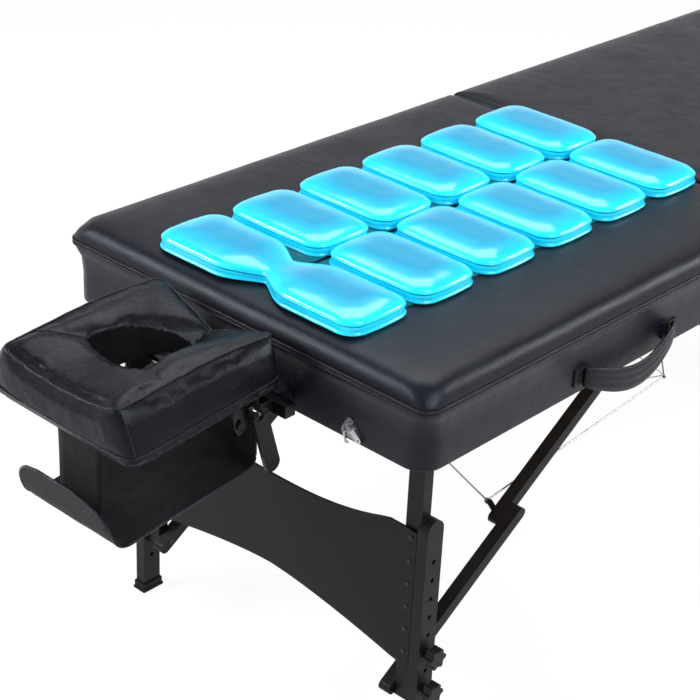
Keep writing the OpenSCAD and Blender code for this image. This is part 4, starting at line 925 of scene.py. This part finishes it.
def sling():
    top = tilted(SLING_X, SLING_Z)
    floor = (top[0] + 2, top[1] - SLING_DROP)
    front = (floor[0] + FLOOR_START - SLING_RUN, floor[1] - SLING_FALL)
    flap = (front[0] - FLAP_OUT, front[1] + FLAP_H)
    line = [top] + between(top, floor, (0.3, 0.6)) + bend(top, floor, front, REAR_BEND)
    line += between(line[-1], front, np.linspace(0.1, 0.85, 9)) + bend(floor, front, flap, FRONT_BEND)
    line += between(line[-1], flap, np.linspace(0.12, 1, 9))
    gone = [0.0]
    for p, q in zip(line, line[1:]):
        gone.append(gone[-1] + math.dist(p, q))
    total = gone[-1]
    rows = []
    for (x, z), s in zip(line, gone):
        half = SLING_W / 2
        if total - s < FLAP_R:
            half += math.sqrt(max(0, FLAP_R ** 2 - (FLAP_R - total + s) ** 2)) - FLAP_R
        cells = []
        for k in range(SLING_COLS + 1):
            u = 2 * k / SLING_COLS - 1
            sag = 0
            if SAG_FROM < s < SAG_TO:
                sag = SAG * (1 - u * u) * sin(pi * (s - SAG_FROM) / (SAG_TO - SAG_FROM))
            wave = RIPPLE * noise.noise(Vector((x / 45, half * u / 38, z / 45)))
            dx = wave if s < RIPPLE_FROM else 0
            dz = wave if RIPPLE_FROM < s < RIPPLE_TO else 0
            cells.append((x + dx, half * u, z - sag + dz))
        rows.append(cells)
    cloth_obj = sheet_obj("arm_sling_cloth", rows, "suede")
    edge = [r[0] for r in rows] + [r[-1] for r in reversed(rows)]
    hem = tube("arm_sling_hem", edge, HEM_R, "piping", "cradle_head")
    # the short strap that holds up the floor's front
    x, z0 = tilted(STRAP_X, SLING_Z)
    z1 = front[1] + (x - front[0]) * SLING_FALL / SLING_RUN
    rows = []
    for j in range(STRAP_N + 1):
        t = j / STRAP_N
        z = z0 - 0.6 - (z0 - z1 - 1.4) * t
        rows.append([(x + STRAP_BOW * sin(pi * t), STRAP_W * (k / STRAP_N - 0.5), z)
                     for k in range(STRAP_N + 1)])
    strap = sheet_obj("arm_sling_strap", rows, "lining")
    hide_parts("arm_sling")


sling()

# ---------------------------------------------------------------- carrying handles
HANDLE_X, HANDLE_Z, HANDLE_SPAN, HANDLE_SAG = 362.0, 614.0, 231.0, 28.0
BAND_H, BAND_T, BAND_START = 40.0, 9.0, 3.5
HANDLE_STEPS, HANDLE_SECTION = 56, 48
HANDLE_PIPE_R, HANDLE_PIPE_IN, END_PINCH = 2.2, 0.8, 0.25


def spow(v, e):
    """A power that keeps the sign."""
    return -((-v) ** e) if v < 0 else v ** e


def handle(name, flip, body, node, off, rise_power):
    """A stitched band: three padded ribs between two piped edges."""
    rings, top, low = [], [], []
    for i in range(HANDLE_STEPS + 1):
        t = i / HANDLE_STEPS
        k = max(sin(pi * t), 0.0)
        pinch = 1 - END_PINCH * (abs(t - 0.5) * 2) ** 4
        x = from_head(HANDLE_X + HANDLE_SPAN * t, flip)
        y = -COVER_Y - BAND_START - BAND_T / 2 - (off - BAND_START) * k ** rise_power
        z = HANDLE_Z - HANDLE_SAG * k ** 1.2
        band = []
        for j in range(HANDLE_SECTION):
            a = 2 * pi * j / HANDLE_SECTION
            v = 0.5 * spow(sin(a), 0.8)
            thick = 0.5 * spow(cos(a), 0.55)
            rib = 0.72 + 0.28 * abs(sin(3 * pi * (v + 0.5))) ** 0.6
            band.append((x, y + BAND_T * thick * rib, z + BAND_H * v * pinch))
        rings.append(band)
        for line, v in ((top, 0.5), (low, -0.5)):
            line.append((x, y, z + (BAND_H - 2 * HANDLE_PIPE_IN) * v * pinch))
    verts = [p for r in rings for p in r]
    faces = skin(rings) + [tuple(reversed(range(HANDLE_SECTION))),
                           tuple(range(len(verts) - HANDLE_SECTION, len(verts)))]
    if flip:
        faces = [tuple(reversed(f)) for f in faces]
    o = mesh_obj(name, verts, faces, "handle")
    o = join(name, [o, bead(top, HANDLE_PIPE_R), bead(low, HANDLE_PIPE_R)], body, (node,))


handle("head_carry_handle", False, "head_frame", "head_handle", off=25.0, rise_power=0.55)
handle("foot_carry_handle", True, "foot_frame", "foot_handle", off=14.0, rise_power=1.3)


# ---------------------------------------------------------------- floor and light
def seen_directly(add):
    """1 for rays from the camera and those that glossy and clear surfaces send on, else 0."""
    path = add("LightPath").outputs
    first = add("Math", {0: path["Is Camera Ray"], 1: path["Is Glossy Ray"]}, operation="MAXIMUM")
    both = add("Math", {0: first.outputs[0], 1: path["Is Transmission Ray"]}, operation="MAXIMUM")
    return path, both.outputs[0]


def make_floor():
    """A floor that keeps the shadow and else looks as white as the background."""
    bpy.ops.mesh.primitive_plane_add(size=40, location=(0, 0, 0))
    floor = bpy.context.active_object
    floor.name = "floor"
    m = bpy.data.materials.new("floor")
    m.use_nodes = True
    m.node_tree.nodes.clear()
    add = adder(m.node_tree)
    _, seen = seen_directly(add)
    share = add("Math", {0: seen, 1: 0.86}, operation="MULTIPLY").outputs[0]
    lit = add("BsdfDiffuse", {"Color": (0.86, 0.86, 0.865, 1)}).outputs[0]
    glow = add("Emission").outputs[0]
    mix = add("MixShader", {"Fac": share, 1: lit, 2: glow}).outputs[0]
    add("OutputMaterial", {"Surface": mix})
    floor.data.materials.append(m)


def make_world():
    w = bpy.data.worlds.new("world")
    bpy.context.scene.world = w
    w.use_nodes = True
    w.node_tree.nodes.clear()
    add = adder(w.node_tree)
    path, seen = seen_directly(add)
    # reflections show the white background up to the horizon and a dimmer ceiling above it
    way = add("SeparateXYZ", {0: add("TexCoord").outputs["Generated"]}).outputs["Z"]
    ceiling = add("MapRange", {"Value": way, "From Min": 0.05, "From Max": 0.5, "To Min": 1.0, "To Max": 0.3})
    bright = add("Math", {0: path["Is Camera Ray"], 1: ceiling.outputs["Result"]}, operation="MAXIMUM")
    lit = add("Background", {"Color": (0.95, 0.97, 1.0, 1), "Strength": 0.7}).outputs[0]
    shown = add("Background", {"Color": bright.outputs[0]}).outputs[0]
    mix = add("MixShader", {"Fac": seen, 1: lit, 2: shown}).outputs[0]
    add("OutputWorld", {"Surface": mix})


def lamp(name, at, to, size, power):
    """An area lamp; places and sizes in metres, power in watts."""
    d = bpy.data.lights.new(name, "AREA")
    d.shape, d.size, d.size_y, d.energy = "RECTANGLE", size[0], size[1], power
    o = bpy.data.objects.new(name, d)
    o.location = at
    o.rotation_euler = (Vector(to) - Vector(at)).to_track_quat("-Z", "Y").to_euler()
    bpy.context.collection.objects.link(o)


make_floor()
make_world()
lamp("key", (-0.9, -2.6, 3.0), (-0.2, 0, 0.6), (1.5, 1.0), 80)
lamp("end_edge", (-2.5, 1.9, 2.1), (-0.7, 0, 0.7), (1.2, 0.35), 60)
lamp("side_edge", (2.1, -1.9, 2.0), (0.0, -0.3, 0.7), (1.2, 0.35), 50)
lamp("top", (0.5, 0.9, 3.2), (0, 0, 0.6), (2.4, 1.4), 60)
lamp("fill", (-3.4, 1.0, 2.2), (-0.5, 0, 0.6), (1.2, 1.2), 20)
